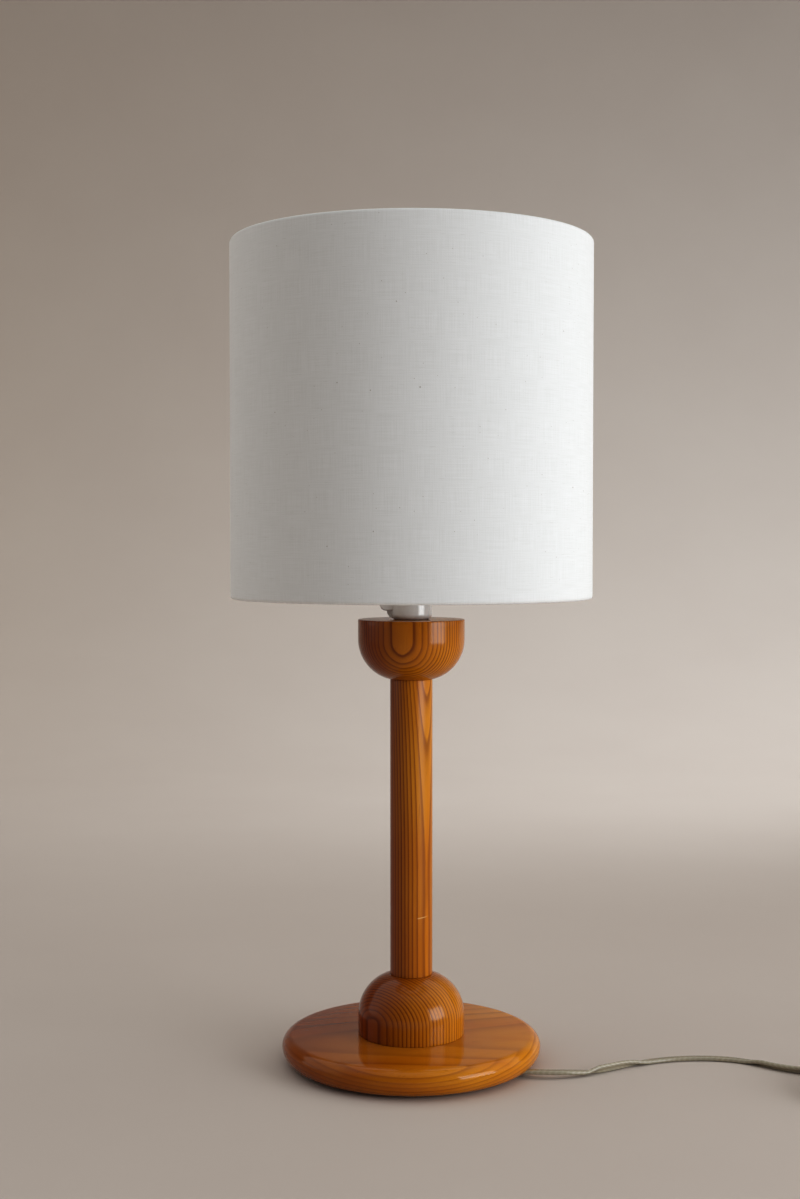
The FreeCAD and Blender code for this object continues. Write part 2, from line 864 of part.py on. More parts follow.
stem_radius = 2.6
stem_top = glass_centre - 6.0
lead_spread = 7.0
lead_radius = 0.4
lead_top = glass_centre + 4.0
stem = turned(
    (0, collar_start + 1.1),
    (inner_neck - 0.4, collar_start + 1.1),
    (stem_radius, cap_end + 2.0),
    (stem_radius, stem_top),
    (0, stem_top),
)
save("bulb_stem", stem)
leads = [
    rod_between(Vector(side * 1.4, 0, stem_top), Vector(side * lead_spread, 0, lead_top), lead_radius)
    for side in (-1, 1)
]
save("bulb_leads", *leads)
filament = Part.Wire(
    [
        Part.Arc(
            Vector(-lead_spread, 0, lead_top + 0.05),
            Vector(0, -3.0, lead_top + 1.6),
            Vector(lead_spread, 0, lead_top + 0.05),
        ).toShape()
    ]
)
filament_start = filament.Edges[0].tangentAt(filament.Edges[0].FirstParameter)
save("bulb_filament", round_tube(filament, Vector(-lead_spread, 0, lead_top + 0.05), filament_start, 0.35))

# ================================================================ shade
hem_inner = shade_wire_radius + hem_gap
hem_outer = hem_inner + hem_thickness
wire_ring_radius = shade_radius - hem_outer
liner_outer = shade_radius - fabric_thickness
liner_inner = liner_outer - liner_thickness
lower_wire_height = shade_bottom + hem_outer
upper_wire_height = shade_top - hem_outer
liner_stop = 1.3

save("shade_fabric", ring(shade_radius, liner_outer, lower_wire_height, upper_wire_height))
save(
    "shade_liner",
    ring(liner_outer, liner_inner, lower_wire_height + liner_stop, upper_wire_height - liner_stop),
)


def hem(wire_height, up):
    """Edge of the fabric, rolled over the wire and down the inside of the liner. up is 1 at the top edge
    and -1 at the lower one."""
    bend = liner_inner - 0.05 - hem_thickness - wire_ring_radius
    shape = turned(
        (wire_ring_radius + hem_outer, 0),
        arc_step((wire_ring_radius, 0), hem_outer, 0, 180),
        arc_step((wire_ring_radius, 0), hem_outer, 180, 270),
        arc_step((wire_ring_radius, -hem_outer - bend), bend, 90, 0),
        (wire_ring_radius + bend, -hem_outer - bend - hem_leg),
        (wire_ring_radius + bend + hem_thickness, -hem_outer - bend - hem_leg),
        (wire_ring_radius + bend + hem_thickness, -hem_outer - bend),
        arc_step((wire_ring_radius, -hem_outer - bend), bend + hem_thickness, 0, 90),
        arc_step((wire_ring_radius, 0), hem_inner, 270, 180),
        arc_step((wire_ring_radius, 0), hem_inner, 180, 0),
    )
    if up < 0:
        shape = shape.mirror(Vector(0, 0, 0), Z_AXIS)
    shape.translate(Vector(0, 0, wire_height))
    return shape


carrier_low = flange_top
carrier_high = flange_top + carrier_thickness
carrier = ring(carrier_outer_radius, thread_radius + 0.3, carrier_low, carrier_high)
lower_wire = Part.makeTorus(wire_ring_radius, shade_wire_radius, Vector(0, 0, lower_wire_height))
upper_wire = Part.makeTorus(wire_ring_radius, shade_wire_radius, Vector(0, 0, upper_wire_height))

arm_headings = [90 + 360 * k / arm_count for k in range(arm_count)]
arm_height = (carrier_low + carrier_high) / 2
arm_lines = []
for angle in arm_headings:
    inner_end = heading(angle) * (ring_radius + 0.3) + Vector(0, 0, arm_height)
    outer_end = heading(angle) * wire_ring_radius + Vector(0, 0, lower_wire_height)
    arm_lines.append((inner_end, outer_end))

lower_hem = hem(lower_wire_height, -1)
for inner_end, outer_end in arm_lines:
    lower_hem = lower_hem.cut(rod_between(inner_end, outer_end, arm_radius + arm_slot_room))
save("shade_upper_hem", hem(upper_wire_height, 1))
save("shade_lower_hem", lower_hem)
save("shade_upper_wire", upper_wire)
save("shade_lower_wire", lower_wire)
save("shade_carrier_ring", carrier)
save(
    "shade_arms",
    *[
        rod_between(inner_end, outer_end, arm_radius).cut(carrier).cut(lower_wire)
        for inner_end, outer_end in arm_lines
    ],
)

retaining_ring = ring(ring_radius, thread_radius + 0.1, carrier_high + 0.05, carrier_high + ring_height)
for grip in range(ring_grips):
    place = heading(360 * grip / ring_grips) * (ring_radius + 0.5 * ring_grip_radius)
    retaining_ring = retaining_ring.cut(
        cylinder(ring_grip_radius, carrier_high, carrier_high + ring_height, place.x, place.y)
    )
save("shade_retaining_ring", retaining_ring)

# ================================================================ free flex
coil_low = coil_floor_gap + flex_radius
coil_middle = coil_turns / 2
coil_inner_radius = coil_outer_radius - coil_step * coil_middle


def coil_point(turn):
    """Point of the coil's middle line after some turns, clockwise from its +Y side. The lower layer spirals
    in, the upper one out, and the flex climbs in the half turn where the spiral reverses."""
    from_middle = turn - coil_middle
    if abs(from_middle) < 0.25:
        radius = coil_inner_radius + coil_step * (0.125 + 2 * from_middle**2)
        share = 2 * from_middle + 0.5
        layer = share * share * (3 - 2 * share)
    else:
        radius = coil_inner_radius + coil_step * abs(from_middle)
        layer = 0 if from_middle < 0 else 1
    angle = math.radians(90 - 360 * turn)
    return Vector(
        coil_centre[0] + radius * math.cos(angle),
        coil_centre[1] + radius * math.sin(angle),
        coil_low + layer * coil_rise,
    )


def coil_tangent(turn):
    small = 1e-4
    return (coil_point(turn + small) - coil_point(turn - small)).normalize()


def biarc(start, start_tangent, end, end_tangent):
    """Two arcs that leave start and reach end along the given tangents."""
    chord = end - start
    tangents = start_tangent + end_tangent
    bend = 2 * (1 - start_tangent.dot(end_tangent))
    along = chord.dot(tangents)
    reach = (math.sqrt(along * along + bend * chord.dot(chord)) - along) / bend
    first_apex = start + start_tangent * reach
    last_apex = end - end_tangent * reach
    joint = (first_apex + last_apex) * 0.5
    arcs = []
    for first, apex, last in ((start, first_apex, joint), (joint, last_apex, end)):
        chord_middle = (first + last) * 0.5
        cosine = (chord_middle - first).Length / reach
        middle = chord_middle + (apex - chord_middle) * (cosine / (1 + cosine))
        arcs.append(Part.Arc(first, middle, last).toShape())
    return arcs


coil_start = coil_point(0) - coil_tangent(0) * flex_width
coil_end = coil_point(coil_turns) + coil_tangent(coil_turns) * flex_width
coil_edges = [Part.LineSegment(coil_start, coil_point(0)).toShape()]
for quarter in range(4 * coil_turns):
    turn = quarter / 4
    next_turn = (quarter + 1) / 4
    coil_edges += biarc(
        coil_point(turn), coil_tangent(turn), coil_point(next_turn), coil_tangent(next_turn)
    )
coil_edges.append(Part.LineSegment(coil_point(coil_turns), coil_end).toShape())
coil_wire = Part.Wire(coil_edges)
coil_solid = round_tube(coil_wire, coil_start, coil_tangent(0), flex_radius)
save("flex_coil", coil_solid)
report_tube(
    "flex_coil",
    coil_solid,
    coil_wire.Length,
    math.pi * flex_radius**2,
    [edge.Curve.Radius for edge in coil_edges[1:-1]],
)


def least_gap_to_itself(point_at, turns, steps_per_turn):
    """Smallest distance between the tube's surfaces at points more than half a turn apart."""
    points = [point_at(k / steps_per_turn) for k in range(turns * steps_per_turn + 1)]
    least = min(
        (first - second).Length
        for index, first in enumerate(points)
        for second in points[index + steps_per_turn // 2 :]
    )
    return least - flex_width


print("flex_coil least gap to itself", round(least_gap_to_itself(coil_point, coil_turns, 96), 2))

# from the foot to the coil: x, y, height of the flex's middle
route_to_coil = [
    (groove_mouth[0], groove_mouth[1], flex_height),
    (94.2, -40.94, flex_height),
    (108.2, -38.2, 3.9),
    (121.5, -33.0, 3.1),
    (134.6, -26.0, 2.9),
    (149.0, -17.0, 2.9),
    (164.5, -8.6, 2.9),
    (180.5, -2.9, 2.9),
    (197.0, -0.5, 2.9),
    (212.5, -0.9, 2.9),
    (226.5, -4.4, 2.9),
    (238.5, -11.0, 2.9),
    (248.5, -20.5, 2.9),
    (259.0, -28.2, 2.9),
    (269.5, -32.0, 3.0),
    (282.0, -34.6, 3.5),
]
run_points = [Vector(*point) for point in route_to_coil]
run_points += [coil_start - coil_tangent(0) * 10.0, coil_start]
run_wire, run_length, run_radii = tangent_arc_path(run_points)
run_solid = round_tube(run_wire, run_points[0], run_points[1] - run_points[0], flex_radius)
save("flex_run", run_solid)
report_tube("flex_run", run_solid, run_length, math.pi * flex_radius**2, run_radii)

# from the coil to the plug
plug_axis_height = plug_height / 2 + plug_floor_gap
route_to_plug = [
    (341.8, -28.9, 9.3),
    (353.0, -20.9, 8.0),
    (360.2, -9.3, plug_axis_height),
    (362.4, 4.1, plug_axis_height),
]
tail_points = [coil_end, coil_end + coil_tangent(coil_turns) * 13.0]
tail_points += [Vector(*point) for point in route_to_plug]
tail_wire, tail_length, tail_radii = tangent_arc_path(tail_points)
tail_solid = round_tube(tail_wire, tail_points[0], coil_tangent(coil_turns), flex_radius)
save("flex_tail", tail_solid)
report_tube("flex_tail", tail_solid, tail_length, math.pi * flex_radius**2, tail_radii)
print("free flex, from the foot to the plug:", round(run_length + coil_wire.Length + tail_length, 1))

# ---------------------------------------------------------------- tie round the coil, on its -Y side
bundle_inner = coil_inner_radius + 0.125 * coil_step - flex_radius - tie_room
bundle_outer = coil_outer_radius - 0.5 * coil_step + flex_radius + tie_room
bundle_low = coil_low - flex_radius - tie_room
bundle_high = coil_low + coil_rise + flex_radius + tie_room


def rounded_block(y_range, z_range, corner):
    block = box(
        (coil_centre[0] - tie_width / 2, coil_centre[0] + tie_width / 2), y_range, z_range
    )
    along_x = [edge for edge in block.Edges if edge.BoundBox.XLength > tie_width / 2]
    return block.makeFillet(corner, along_x)


tie_y = (coil_centre[1] - bundle_outer, coil_centre[1] - bundle_inner)
tie_outer_block = rounded_block(
    (tie_y[0] - tie_thickness, tie_y[1] + tie_thickness),
    (bundle_low - tie_thickness, bundle_high + tie_thickness),
    flex_radius + tie_thickness,
)
tie_inner_block = rounded_block(tie_y, (bundle_low, bundle_high), flex_radius)
tie = tie_outer_block.cut(tie_inner_block)
tab_middle = (tie_y[0] + tie_y[1]) / 2
tab = box(
    (coil_centre[0] - tie_width / 2, coil_centre[0] + tie_width / 2),
    (tab_middle - tie_tab / 2, tab_middle + tie_tab / 2),
    (bundle_high + tie_thickness, bundle_high + 2 * tie_thickness),
)
save("flex_tie", tie.fuse(tab).removeSplitter())


# ================================================================ plug
def plug_section(distance, width, flat_width, height):
    """Six-sided section of the plug, across its own X axis, distance behind the front face."""
    half = width / 2
    flat = flat_width / 2
    top = height / 2
    side = top - (half - flat) * plug_height / (plug_width - plug_flat_width + 4.5)
    points = [
        (-half, -side), (-flat, -top), (flat, -top), (half, -side),
        (half, side), (flat, top), (-flat, top), (-half, side),
    ]
    corners = [Vector(-distance, y, z) for y, z in points]
    return Part.makePolygon(corners + corners[:1])


plug_length = plug_face_length + plug_waist_length + plug_neck_length
front = plug_section(0, plug_width, plug_flat_width, plug_height)
waist = plug_section(plug_face_length, plug_width, plug_flat_width, plug_height)
throat = plug_section(
    plug_face_length + plug_waist_length, 2.4 * plug_neck_radius, 1.6 * plug_neck_radius, 2 * plug_neck_radius
)
body = Part.makeLoft([front, waist], True, True)
body = body.fuse(Part.makeLoft([waist, throat], True, True))
neck_start = Vector(-(plug_face_length + plug_waist_length), 0, 0)
body = body.fuse(Part.makeCylinder(plug_neck_radius, plug_neck_length, neck_start, Vector(-1, 0, 0)))
rib_step = plug_neck_length / (plug_neck_ribs + 1)
for rib in range(plug_neck_ribs):
    place = neck_start - Vector((rib + 0.7) * rib_step, 0, 0)
    groove = Part.makeCylinder(plug_neck_radius + 1, 0.5 * rib_step, place, Vector(-1, 0, 0)).cut(
        Part.makeCylinder(plug_neck_radius - 0.8, 0.5 * rib_step, place, Vector(-1, 0, 0))
    )
    body = body.cut(groove)
pin_places = [Vector(0, side * pin_spacing / 2, 0) for side in (-1, 1)]
for place in pin_places:
    body = body.cut(
        Part.makeCylinder(pin_core_radius + 0.02, pin_root, place - Vector(pin_root, 0, 0), Vector(1, 0, 0))
    )


def pin(place):
    along = Vector(1, 0, 0)
    core_part = Part.makeCylinder(
        pin_core_radius, pin_root + pin_sleeve_length, place - Vector(pin_root, 0, 0), along
    )
    tip_length = pin_length - pin_sleeve_length - pin_radius
    tip = Part.makeCylinder(pin_radius, tip_length, place + Vector(pin_sleeve_length, 0, 0), along)
    nose = Part.makeSphere(pin_radius, place + Vector(pin_length - pin_radius, 0, 0))
    return core_part.fuse([tip, nose]).removeSplitter()


def pin_sleeve(place):
    along = Vector(1, 0, 0)
    outer = Part.makeCylinder(pin_radius, pin_sleeve_length, place, along)
    return outer.cut(Part.makeCylinder(pin_core_radius + 0.02, pin_sleeve_length, place, along))


plug_direction = tail_points[-1] - tail_points[-2]
plug_heading = math.degrees(math.atan2(plug_direction.y, plug_direction.x))
plug_front = tail_points[-1] + heading(plug_heading) * plug_length
plug_place = FreeCAD.Placement(plug_front, FreeCAD.Rotation(Z_AXIS, plug_heading))


def placed(shape):
    shape.Placement = plug_place.multiply(shape.Placement)
    return shape


save("plug_body", placed(body.removeSplitter()))
save("plug_pins", *[placed(pin(place)) for place in pin_places])
save("plug_pin_sleeves", *[placed(pin_sleeve(place)) for place in pin_places])

print("lamp height", shade_top, "bowl top", bowl_top, "flange top", flange_top, "shade bottom", shade_bottom)
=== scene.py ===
# %% [markdown]
# A turned pine table lamp with a white drum shade
# This lesson dresses the construction model of a table lamp. That model is loaded first and never changed,
# and the sizes and places here are the same as its own. Each visible piece is modelled again more finely,
# or keeps its mesh and gets a finish. Sizes are written in millimetres, as on a workshop drawing, and
# turned into Blender's metres where a mesh is made.

import math

import bpy
from mathutils import Matrix, Vector


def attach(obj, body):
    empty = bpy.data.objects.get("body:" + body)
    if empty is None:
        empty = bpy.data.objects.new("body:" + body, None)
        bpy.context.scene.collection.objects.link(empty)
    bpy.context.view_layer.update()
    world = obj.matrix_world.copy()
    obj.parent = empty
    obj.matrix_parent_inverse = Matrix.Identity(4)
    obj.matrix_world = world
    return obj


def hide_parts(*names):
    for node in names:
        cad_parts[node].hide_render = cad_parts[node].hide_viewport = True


MM = 0.001
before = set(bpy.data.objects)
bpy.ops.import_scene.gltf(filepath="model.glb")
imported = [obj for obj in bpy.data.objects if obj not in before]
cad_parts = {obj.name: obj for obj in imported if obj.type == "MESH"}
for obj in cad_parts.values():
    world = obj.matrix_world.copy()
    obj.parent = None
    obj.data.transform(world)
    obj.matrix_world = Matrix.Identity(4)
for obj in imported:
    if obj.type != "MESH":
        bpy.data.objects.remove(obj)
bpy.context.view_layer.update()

# %% [markdown]
# The camera stands where the photographer stood: about 1.16 m in front of the lamp, 365 mm above the table,
# and looking down by two degrees. A 50 mm lens on an upright full frame has little perspective, so the
# shade's sides stay parallel. The film's long side is set as the upright one. A view gamma below one gives
# the picture the contrast of a camera's tone curve, with deep shadows and full colours.

# %% Camera
lens = bpy.data.cameras.new("studio_camera")
lens.sensor_fit = "VERTICAL"
lens.sensor_height = 36.0
lens.lens = 50.07
lens.dof.use_dof = False
camera = bpy.data.objects.new("studio_camera", lens)
bpy.context.collection.objects.link(camera)
camera.location = (-0.0079, -1.1579, 0.36505)
camera.rotation_euler = (math.radians(87.94), 0, 0)
bpy.context.scene.camera = camera
bpy.context.scene.view_settings.view_transform = "Standard"
bpy.context.scene.view_settings.gamma = 0.75
print("camera at", tuple(round(c, 3) for c in camera.location))

# %% [markdown]
# The flex is a fixed 1.8 m of flat twin cable. It leaves the groove under the foot, bends up and down the table
# to the right, and the length that isn't wanted is wound into a neat tied coil, with the plug beside it. A
# NURBS spline is right for it, because its control points pull a smooth line along like a stiff cable, with no
# corner anywhere. The route is listed, and only the coil's turns come from a loop.

# %% Route of the flex
flex_route = [
    (80.4, -39.0, 4.4), (94.2, -40.94, 4.4), (108.2, -38.2, 3.9), (121.5, -33.0, 3.1),
    (134.6, -26.0, 2.9), (149.0, -17.0, 2.9), (164.5, -8.6, 2.9), (180.5, -2.9, 2.9),
    (197.0, -0.5, 2.9), (212.5, -0.9, 2.9), (226.5, -4.4, 2.9), (238.5, -11.0, 2.9),
    (248.5, -20.5, 2.9), (259.0, -28.2, 2.9), (269.5, -32.0, 3.0), (282.0, -34.6, 3.5),
    (294.4, -34.4, 4.0),
]
run_out = (329.5, -33.6, 10.2)
route_to_plug = [
    (341.8, -28.9, 9.3), (353.0, -20.9, 8.0), (360.2, -9.3, 6.95), (362.4, 4.1, 6.95),
]
coil_centre = (310.0, -78.0)
coil_turns = 7
points_per_turn = 16
inmost_radius, turn_spacing = 22.25, 6.3
lower_layer, layer_height = 4.1, 6.15
change_over = 0.25                                      # turns over which the flex climbs to the upper layer


def coil_point(turn):
    """Middle of the flex after some turns. The lower layer winds inwards, the upper one outwards again."""
    from_middle = turn - coil_turns / 2
    radius = inmost_radius + turn_spacing * abs(from_middle)
    layer = 0 if from_middle < 0 else 1
    if abs(from_middle) < change_over:
        radius = inmost_radius + turn_spacing * (change_over / 2 + from_middle**2 / (2 * change_over))
        share = from_middle / (2 * change_over) + 0.5
        layer = share * share * (3 - 2 * share)
    radius /= math.cos(math.pi / points_per_turn)      # the spline runs a little inside its control points
    angle = math.radians(90 - 360 * turn)
    return (
        coil_centre[0] + radius * math.cos(angle),
        coil_centre[1] + radius * math.sin(angle),
        lower_layer + layer_height * layer,
    )


coil = [coil_point(step / points_per_turn) for step in range(coil_turns * points_per_turn + 1)]
route = flex_route + coil + [run_out] + route_to_plug
print("control points", len(route), "of them in the coil", len(coil))


# %% Read a smooth line from a spline
def smooth_line(points, resolution):
    """Points along the NURBS spline whose control points are given in millimetres."""
    curve = bpy.data.curves.new("route", "CURVE")
    curve.dimensions = "3D"
    spline = curve.splines.new("NURBS")
    spline.points.add(len(points) - 1)
    for control, place in zip(spline.points, points):
        control.co = (place[0] * MM, place[1] * MM, place[2] * MM, 1)
    spline.order_u = 3
    spline.use_endpoint_u = True
    spline.resolution_u = resolution
    holder = bpy.data.objects.new("route", curve)
    bpy.context.collection.objects.link(holder)
    mesh = bpy.data.meshes.new_from_object(holder)
    line = [vertex.co.copy() for vertex in mesh.vertices]
    bpy.data.objects.remove(holder)
    bpy.data.curves.remove(curve)
    bpy.data.meshes.remove(mesh)
    return line


flex_line = smooth_line(route, 10)
flex_length = sum((b - a).length for a, b in zip(flex_line, flex_line[1:]))
print("points on the line", len(flex_line), "length", round(flex_length, 3))

# %% [markdown]
# A twin flex is two round cores side by side in one clear sheath, so its section is a figure of eight. Two
# stranded cores give it a soft twist: it leaves the foot flat, stands on its edge where it bends away, lies
# flat again, and is wound on its edge. The section is carried along the line and turned by given angles.
# Where it lies flat it is lowered until it touches the table.

# %% Section and twist of the flex
CORE = 1.4                                              # radius of one lobe
flex_section = []
for side in (1, -1):
    for step in range(9):
        angle = math.radians(-128 + 32 * step)
        flex_section.append((side * (CORE + CORE * math.cos(angle)), side * CORE * math.sin(angle)))
# both lists hold a distance along the flex in millimetres, and the value there
twist_marks = [(0, 0), (36, 0), (54, 84), (66, 84), (94, 0), (158, 0), (178, 46), (200, 58), (238, 90),
               (1716, 90), (1752, 0), (2000, 0)]
lowering_marks = [(0, 0), (18, 0), (50, 1), (215, 1), (245, 0), (2000, 0)]
print("points in the section", len(flex_section))


# %% Carry a section along a line
def between_marks(marks, distance):
    """Smooth value between listed marks of (distance, value)."""
    for (start, low), (end, high) in zip(marks, marks[1:]):
        if distance <= end:
            share = (distance - start) / (end - start)
            return low + (high - low) * share * share * (3 - 2 * share)
    return marks[-1][1]


def carry_section(name, line, section, twist, lowering):
    """Tube mesh with the section carried along the line, and the line it really follows."""
    rings, followed, travelled, walked = [], [], [], 0.0
    for index, place in enumerate(line):
        if index:
            walked += (place - line[index - 1]).length / MM
        ahead = line[min(index + 1, len(line) - 1)] - line[max(index - 1, 0)]
        ahead.normalize()
        sideways = ahead.cross(Vector((0, 0, 1)))
        if sideways.length < 0.2:
            sideways = Vector((-ahead.z, 0, ahead.x)).cross(ahead)
        sideways.normalize()
        upward = sideways.cross(ahead)
        turn = math.radians(between_marks(twist, walked))
        wide = sideways * math.cos(turn) + upward * math.sin(turn)
        thin = ahead.cross(wide)
        sunk = CORE * MM * (1 - abs(math.sin(turn))) * between_marks(lowering, walked)
        middle = place - Vector((0, 0, sunk))
        rings.append([middle + wide * (u * MM) + thin * (v * MM) for u, v in section])
        followed.append(middle)
        travelled.append(walked)
    count = len(section)
    corners = [corner for ring in rings for corner in ring]
    faces = [
        (r * count + k, r * count + (k + 1) % count, (r + 1) * count + (k + 1) % count, (r + 1) * count + k)
        for r in range(len(rings) - 1)
        for k in range(count)
    ]
    faces += [tuple(reversed(range(count))), tuple((len(rings) - 1) * count + k for k in range(count))]
    mesh = bpy.data.meshes.new(name)
    mesh.from_pydata(corners, [], faces)
    piece = bpy.data.objects.new(name, mesh)
    bpy.context.collection.objects.link(piece)
    along = mesh.uv_layers.new(name="Along")
    for loop in mesh.loops:
        ring, k = divmod(loop.vertex_index, count)
        along.data[loop.index].uv = (section[k][0] * MM, travelled[ring] * MM)
    print(name, "is", round(walked), "mm long")
    return piece, followed


flex, flex_followed = carry_section("flex", flex_line, flex_section, twist_marks, lowering_marks)

# %% [markdown]
# Every piece is finished in the same way: it is named, its faces are turned outwards and shaded smooth up to an
# angle, and it is tied to the construction model. It rides on a moving body of the lamp and takes the place of
# the plain solids that it stands for.

# %% Finishing a piece
def only(piece):
    """Leave edit mode and select one piece."""
    if bpy.context.mode != "OBJECT":
        bpy.ops.object.mode_set(mode="OBJECT")
    bpy.ops.object.select_all(action="DESELECT")
    piece.select_set(True)
    bpy.context.view_layer.objects.active = piece


def outward(piece):
    """Merge doubles and turn every face outwards."""
    only(piece)
    bpy.ops.object.mode_set(mode="EDIT")
    bpy.ops.mesh.select_all(action="SELECT")
    bpy.ops.mesh.remove_doubles(threshold=1e-6)
    bpy.ops.mesh.normals_make_consistent(inside=False)
    bpy.ops.object.mode_set(mode="OBJECT")


def settle(piece):
    """Put the piece's place, turn and size into its mesh."""
    only(piece)
    bpy.ops.object.transform_apply(location=True, rotation=True, scale=True)


def finish_piece(piece, stands_for, body="lamp", sharp=35):
    """Settle the piece, shade it smooth up to an angle, and tie it to the construction model."""
    settle(piece)
    bpy.ops.object.shade_smooth_by_angle(angle=math.radians(sharp))
    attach(piece, body)
    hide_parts(*stands_for)
    size = [round(d / MM, 1) for d in piece.dimensions]
    print(piece.name, "faces", len(piece.data.polygons), "size mm", size)


outward(flex)
finish_piece(flex, ["flex_run", "flex_coil", "flex_tail"], sharp=60)

# %% [markdown]
# Inside the lamp the flex goes on from the foot's groove, round into the recess and up through the hollow
# rod to the lamp holder. Nobody sees most of it, but it shows at the groove's mouth, so it gets the same
# section.

# %% Flex inside the lamp
inner_route = [
    (0, 0, 318.5), (0, 0, 200), (0, 0, 60), (0, 0, 16), (0, 0, 9.6), (0, 0, 4.4),
    (2.5, -5.0, 4.4), (5.2, -11.0, 4.4), (8.2, -18.2, 4.4), (11.0, -25.0, 4.4), (15.0, -29.8, 4.4),
    (21.5, -31.0, 4.4), (36.0, -32.8, 4.4), (60.0, -36.1, 4.4), flex_route[0],
]
flat_all_along = [(0, 0), (3000, 0)]
inner_flex = carry_section(
    "flex_within", smooth_line(inner_route, 8), flex_section, flat_all_along, flat_all_along
)[0]
outward(inner_flex)
finish_piece(inner_flex, ["flex_inside"], sharp=60)

# %% [markdown]
# Everything turned on a lathe is made as on the lathe: an outline is drawn beside the axis and spun round
# it. A single vertex is moved to the outline's start and extruded from point to point, and the spin
# operator turns the line into a body. Finer steps than the construction model's give clean highlights on
# the lacquer. Edit mode remembers whether it last chose points, edges or faces, so the points are asked for
# each time.

# %% Lathe
SPIN_STEPS = 192


def arc(centre, radius, start, end, steps):
    """Points of an arc in an outline, from one angle to another in degrees."""
    angles = [math.radians(start + (end - start) * k / steps) for k in range(steps + 1)]
    return [(centre[0] + radius * math.cos(a), centre[1] + radius * math.sin(a)) for a in angles]


def drawn(name, path):
    """Line of vertices along a path in millimetres, left in edit mode with all of it selected."""
    path = [Vector(place) * MM for place in path]
    bpy.ops.object.select_all(action="DESELECT")
    bpy.ops.mesh.primitive_plane_add(size=0.01)
    piece = bpy.context.object
    piece.name = piece.data.name = name
    bpy.ops.object.mode_set(mode="EDIT")
    bpy.ops.mesh.select_mode(type="VERT")
    bpy.ops.mesh.select_all(action="SELECT")
    bpy.ops.mesh.merge(type="CENTER")
    bpy.ops.transform.translate(value=path[0])
    for start, end in zip(path, path[1:]):
        bpy.ops.mesh.extrude_vertices_move(TRANSFORM_OT_translate={"value": end - start})
    bpy.ops.mesh.select_all(action="SELECT")
    return piece


def turned(name, outline, steps=SPIN_STEPS):
    """Body of revolution about the lamp's axis from an outline of (radius, height) points."""
    piece = drawn(name, [(radius, 0, height) for radius, height in outline])
    bpy.ops.mesh.spin(steps=steps, angle=2 * math.pi, center=(0, 0, 0), axis=(0, 0, 1))
    bpy.ops.object.mode_set(mode="OBJECT")
    outward(piece)
    return piece


print("the lathe makes", SPIN_STEPS, "steps a turn")

# %% [markdown]
# The wooden pieces stand on each other, so each height follows from those below it. A hole for the hollow
# rod goes through all of them.

# %% Heights of the stack
foot_bottom, foot_top = 1.5, 20.0
turning_height, column_length = 41.6, 206.5
column_bottom = foot_top + turning_height
column_top = column_bottom + column_length
seat_height = column_top + turning_height
bore = 5.4
print("column from", round(column_bottom, 1), "to", round(column_top, 1), "holder on", round(seat_height, 1))

# %% [markdown]
# The foot is one pine board, 18.5 mm thick, turned round. Its rim is a fat rounded edge that is widest a
# little above the middle, so two arcs of different radius make it. Underneath it has the recess for the
# nut, and a groove that lets the flex out, which is cut afterwards with a boolean, as the router would
# after the lathe.

# %% Foot
foot_radius, widest_height = 90.3, 12.4
under_round, upper_round = widest_height - foot_bottom, foot_top - widest_height
recess_radius, recess_top = 41.0, 13.0
foot_outline = [
    (recess_radius, recess_top), (recess_radius, foot_bottom + 0.4), (recess_radius + 0.4, foot_bottom),
    (foot_radius - under_round, foot_bottom),
]
foot_outline += arc((foot_radius - under_round, widest_height), under_round, -90, 0, 14)[1:]
foot_outline += arc((foot_radius - upper_round, widest_height), upper_round, 0, 90, 12)[1:]
foot_outline += [
    (60.0, foot_top), (36.0, foot_top), (bore, foot_top), (bore, recess_top), (recess_radius, recess_top)
]
foot = turned("foot", foot_outline, 256)


# %% Cutting with a boolean
def block(size, place, heading=0.0):
    """Box as a primitive at its size and place in millimetres."""
    bpy.ops.object.select_all(action="DESELECT")
    bpy.ops.mesh.primitive_cube_add(
        size=1,
        location=[c * MM for c in place],
        rotation=(0, 0, math.radians(heading)),
        scale=[s * MM for s in size],
    )
    return bpy.context.object


def modify(piece, kind, **settings):
    """Add a modifier with its settings, and apply it."""
    only(piece)
    change = piece.modifiers.new("change", kind)
    for name, setting in settings.items():
        setattr(change, name, setting)
    bpy.ops.object.modifier_apply(modifier=change.name)


def combine(piece, tool, operation="DIFFERENCE"):
    """Cut with a tool, or join it on with UNION, and throw the tool away."""
    modify(piece, "BOOLEAN", operation=operation, solver="EXACT", object=tool)
    bpy.data.objects.remove(tool)


groove_heading = -8
groove_way = (math.cos(math.radians(groove_heading)), math.sin(math.radians(groove_heading)))


def in_groove(inwards, height):
    """Place in the middle of the groove, some way in from the mouth where the flex leaves."""
    mouth = flex_route[0]
    return (mouth[0] - inwards * groove_way[0], mouth[1] - inwards * groove_way[1], height)


combine(foot, block((120, 6.4, 10), in_groove(6, 1.0), groove_heading))
combine(foot, block((9, 21, 10), in_groove(38, -1.9), groove_heading))      # room for the clamp on the flex
finish_piece(foot, ["base_disc"])

# %% [markdown]
# The dome and the bowl are the same turning: a straight band, then a round that runs up to a small flat
# seat. The bowl is that shape upside down. Both are drawn once as an outline above their own band's edge,
# with slightly softened corners where the sandpaper went, and the bowl's outline is only mirrored in
# height.

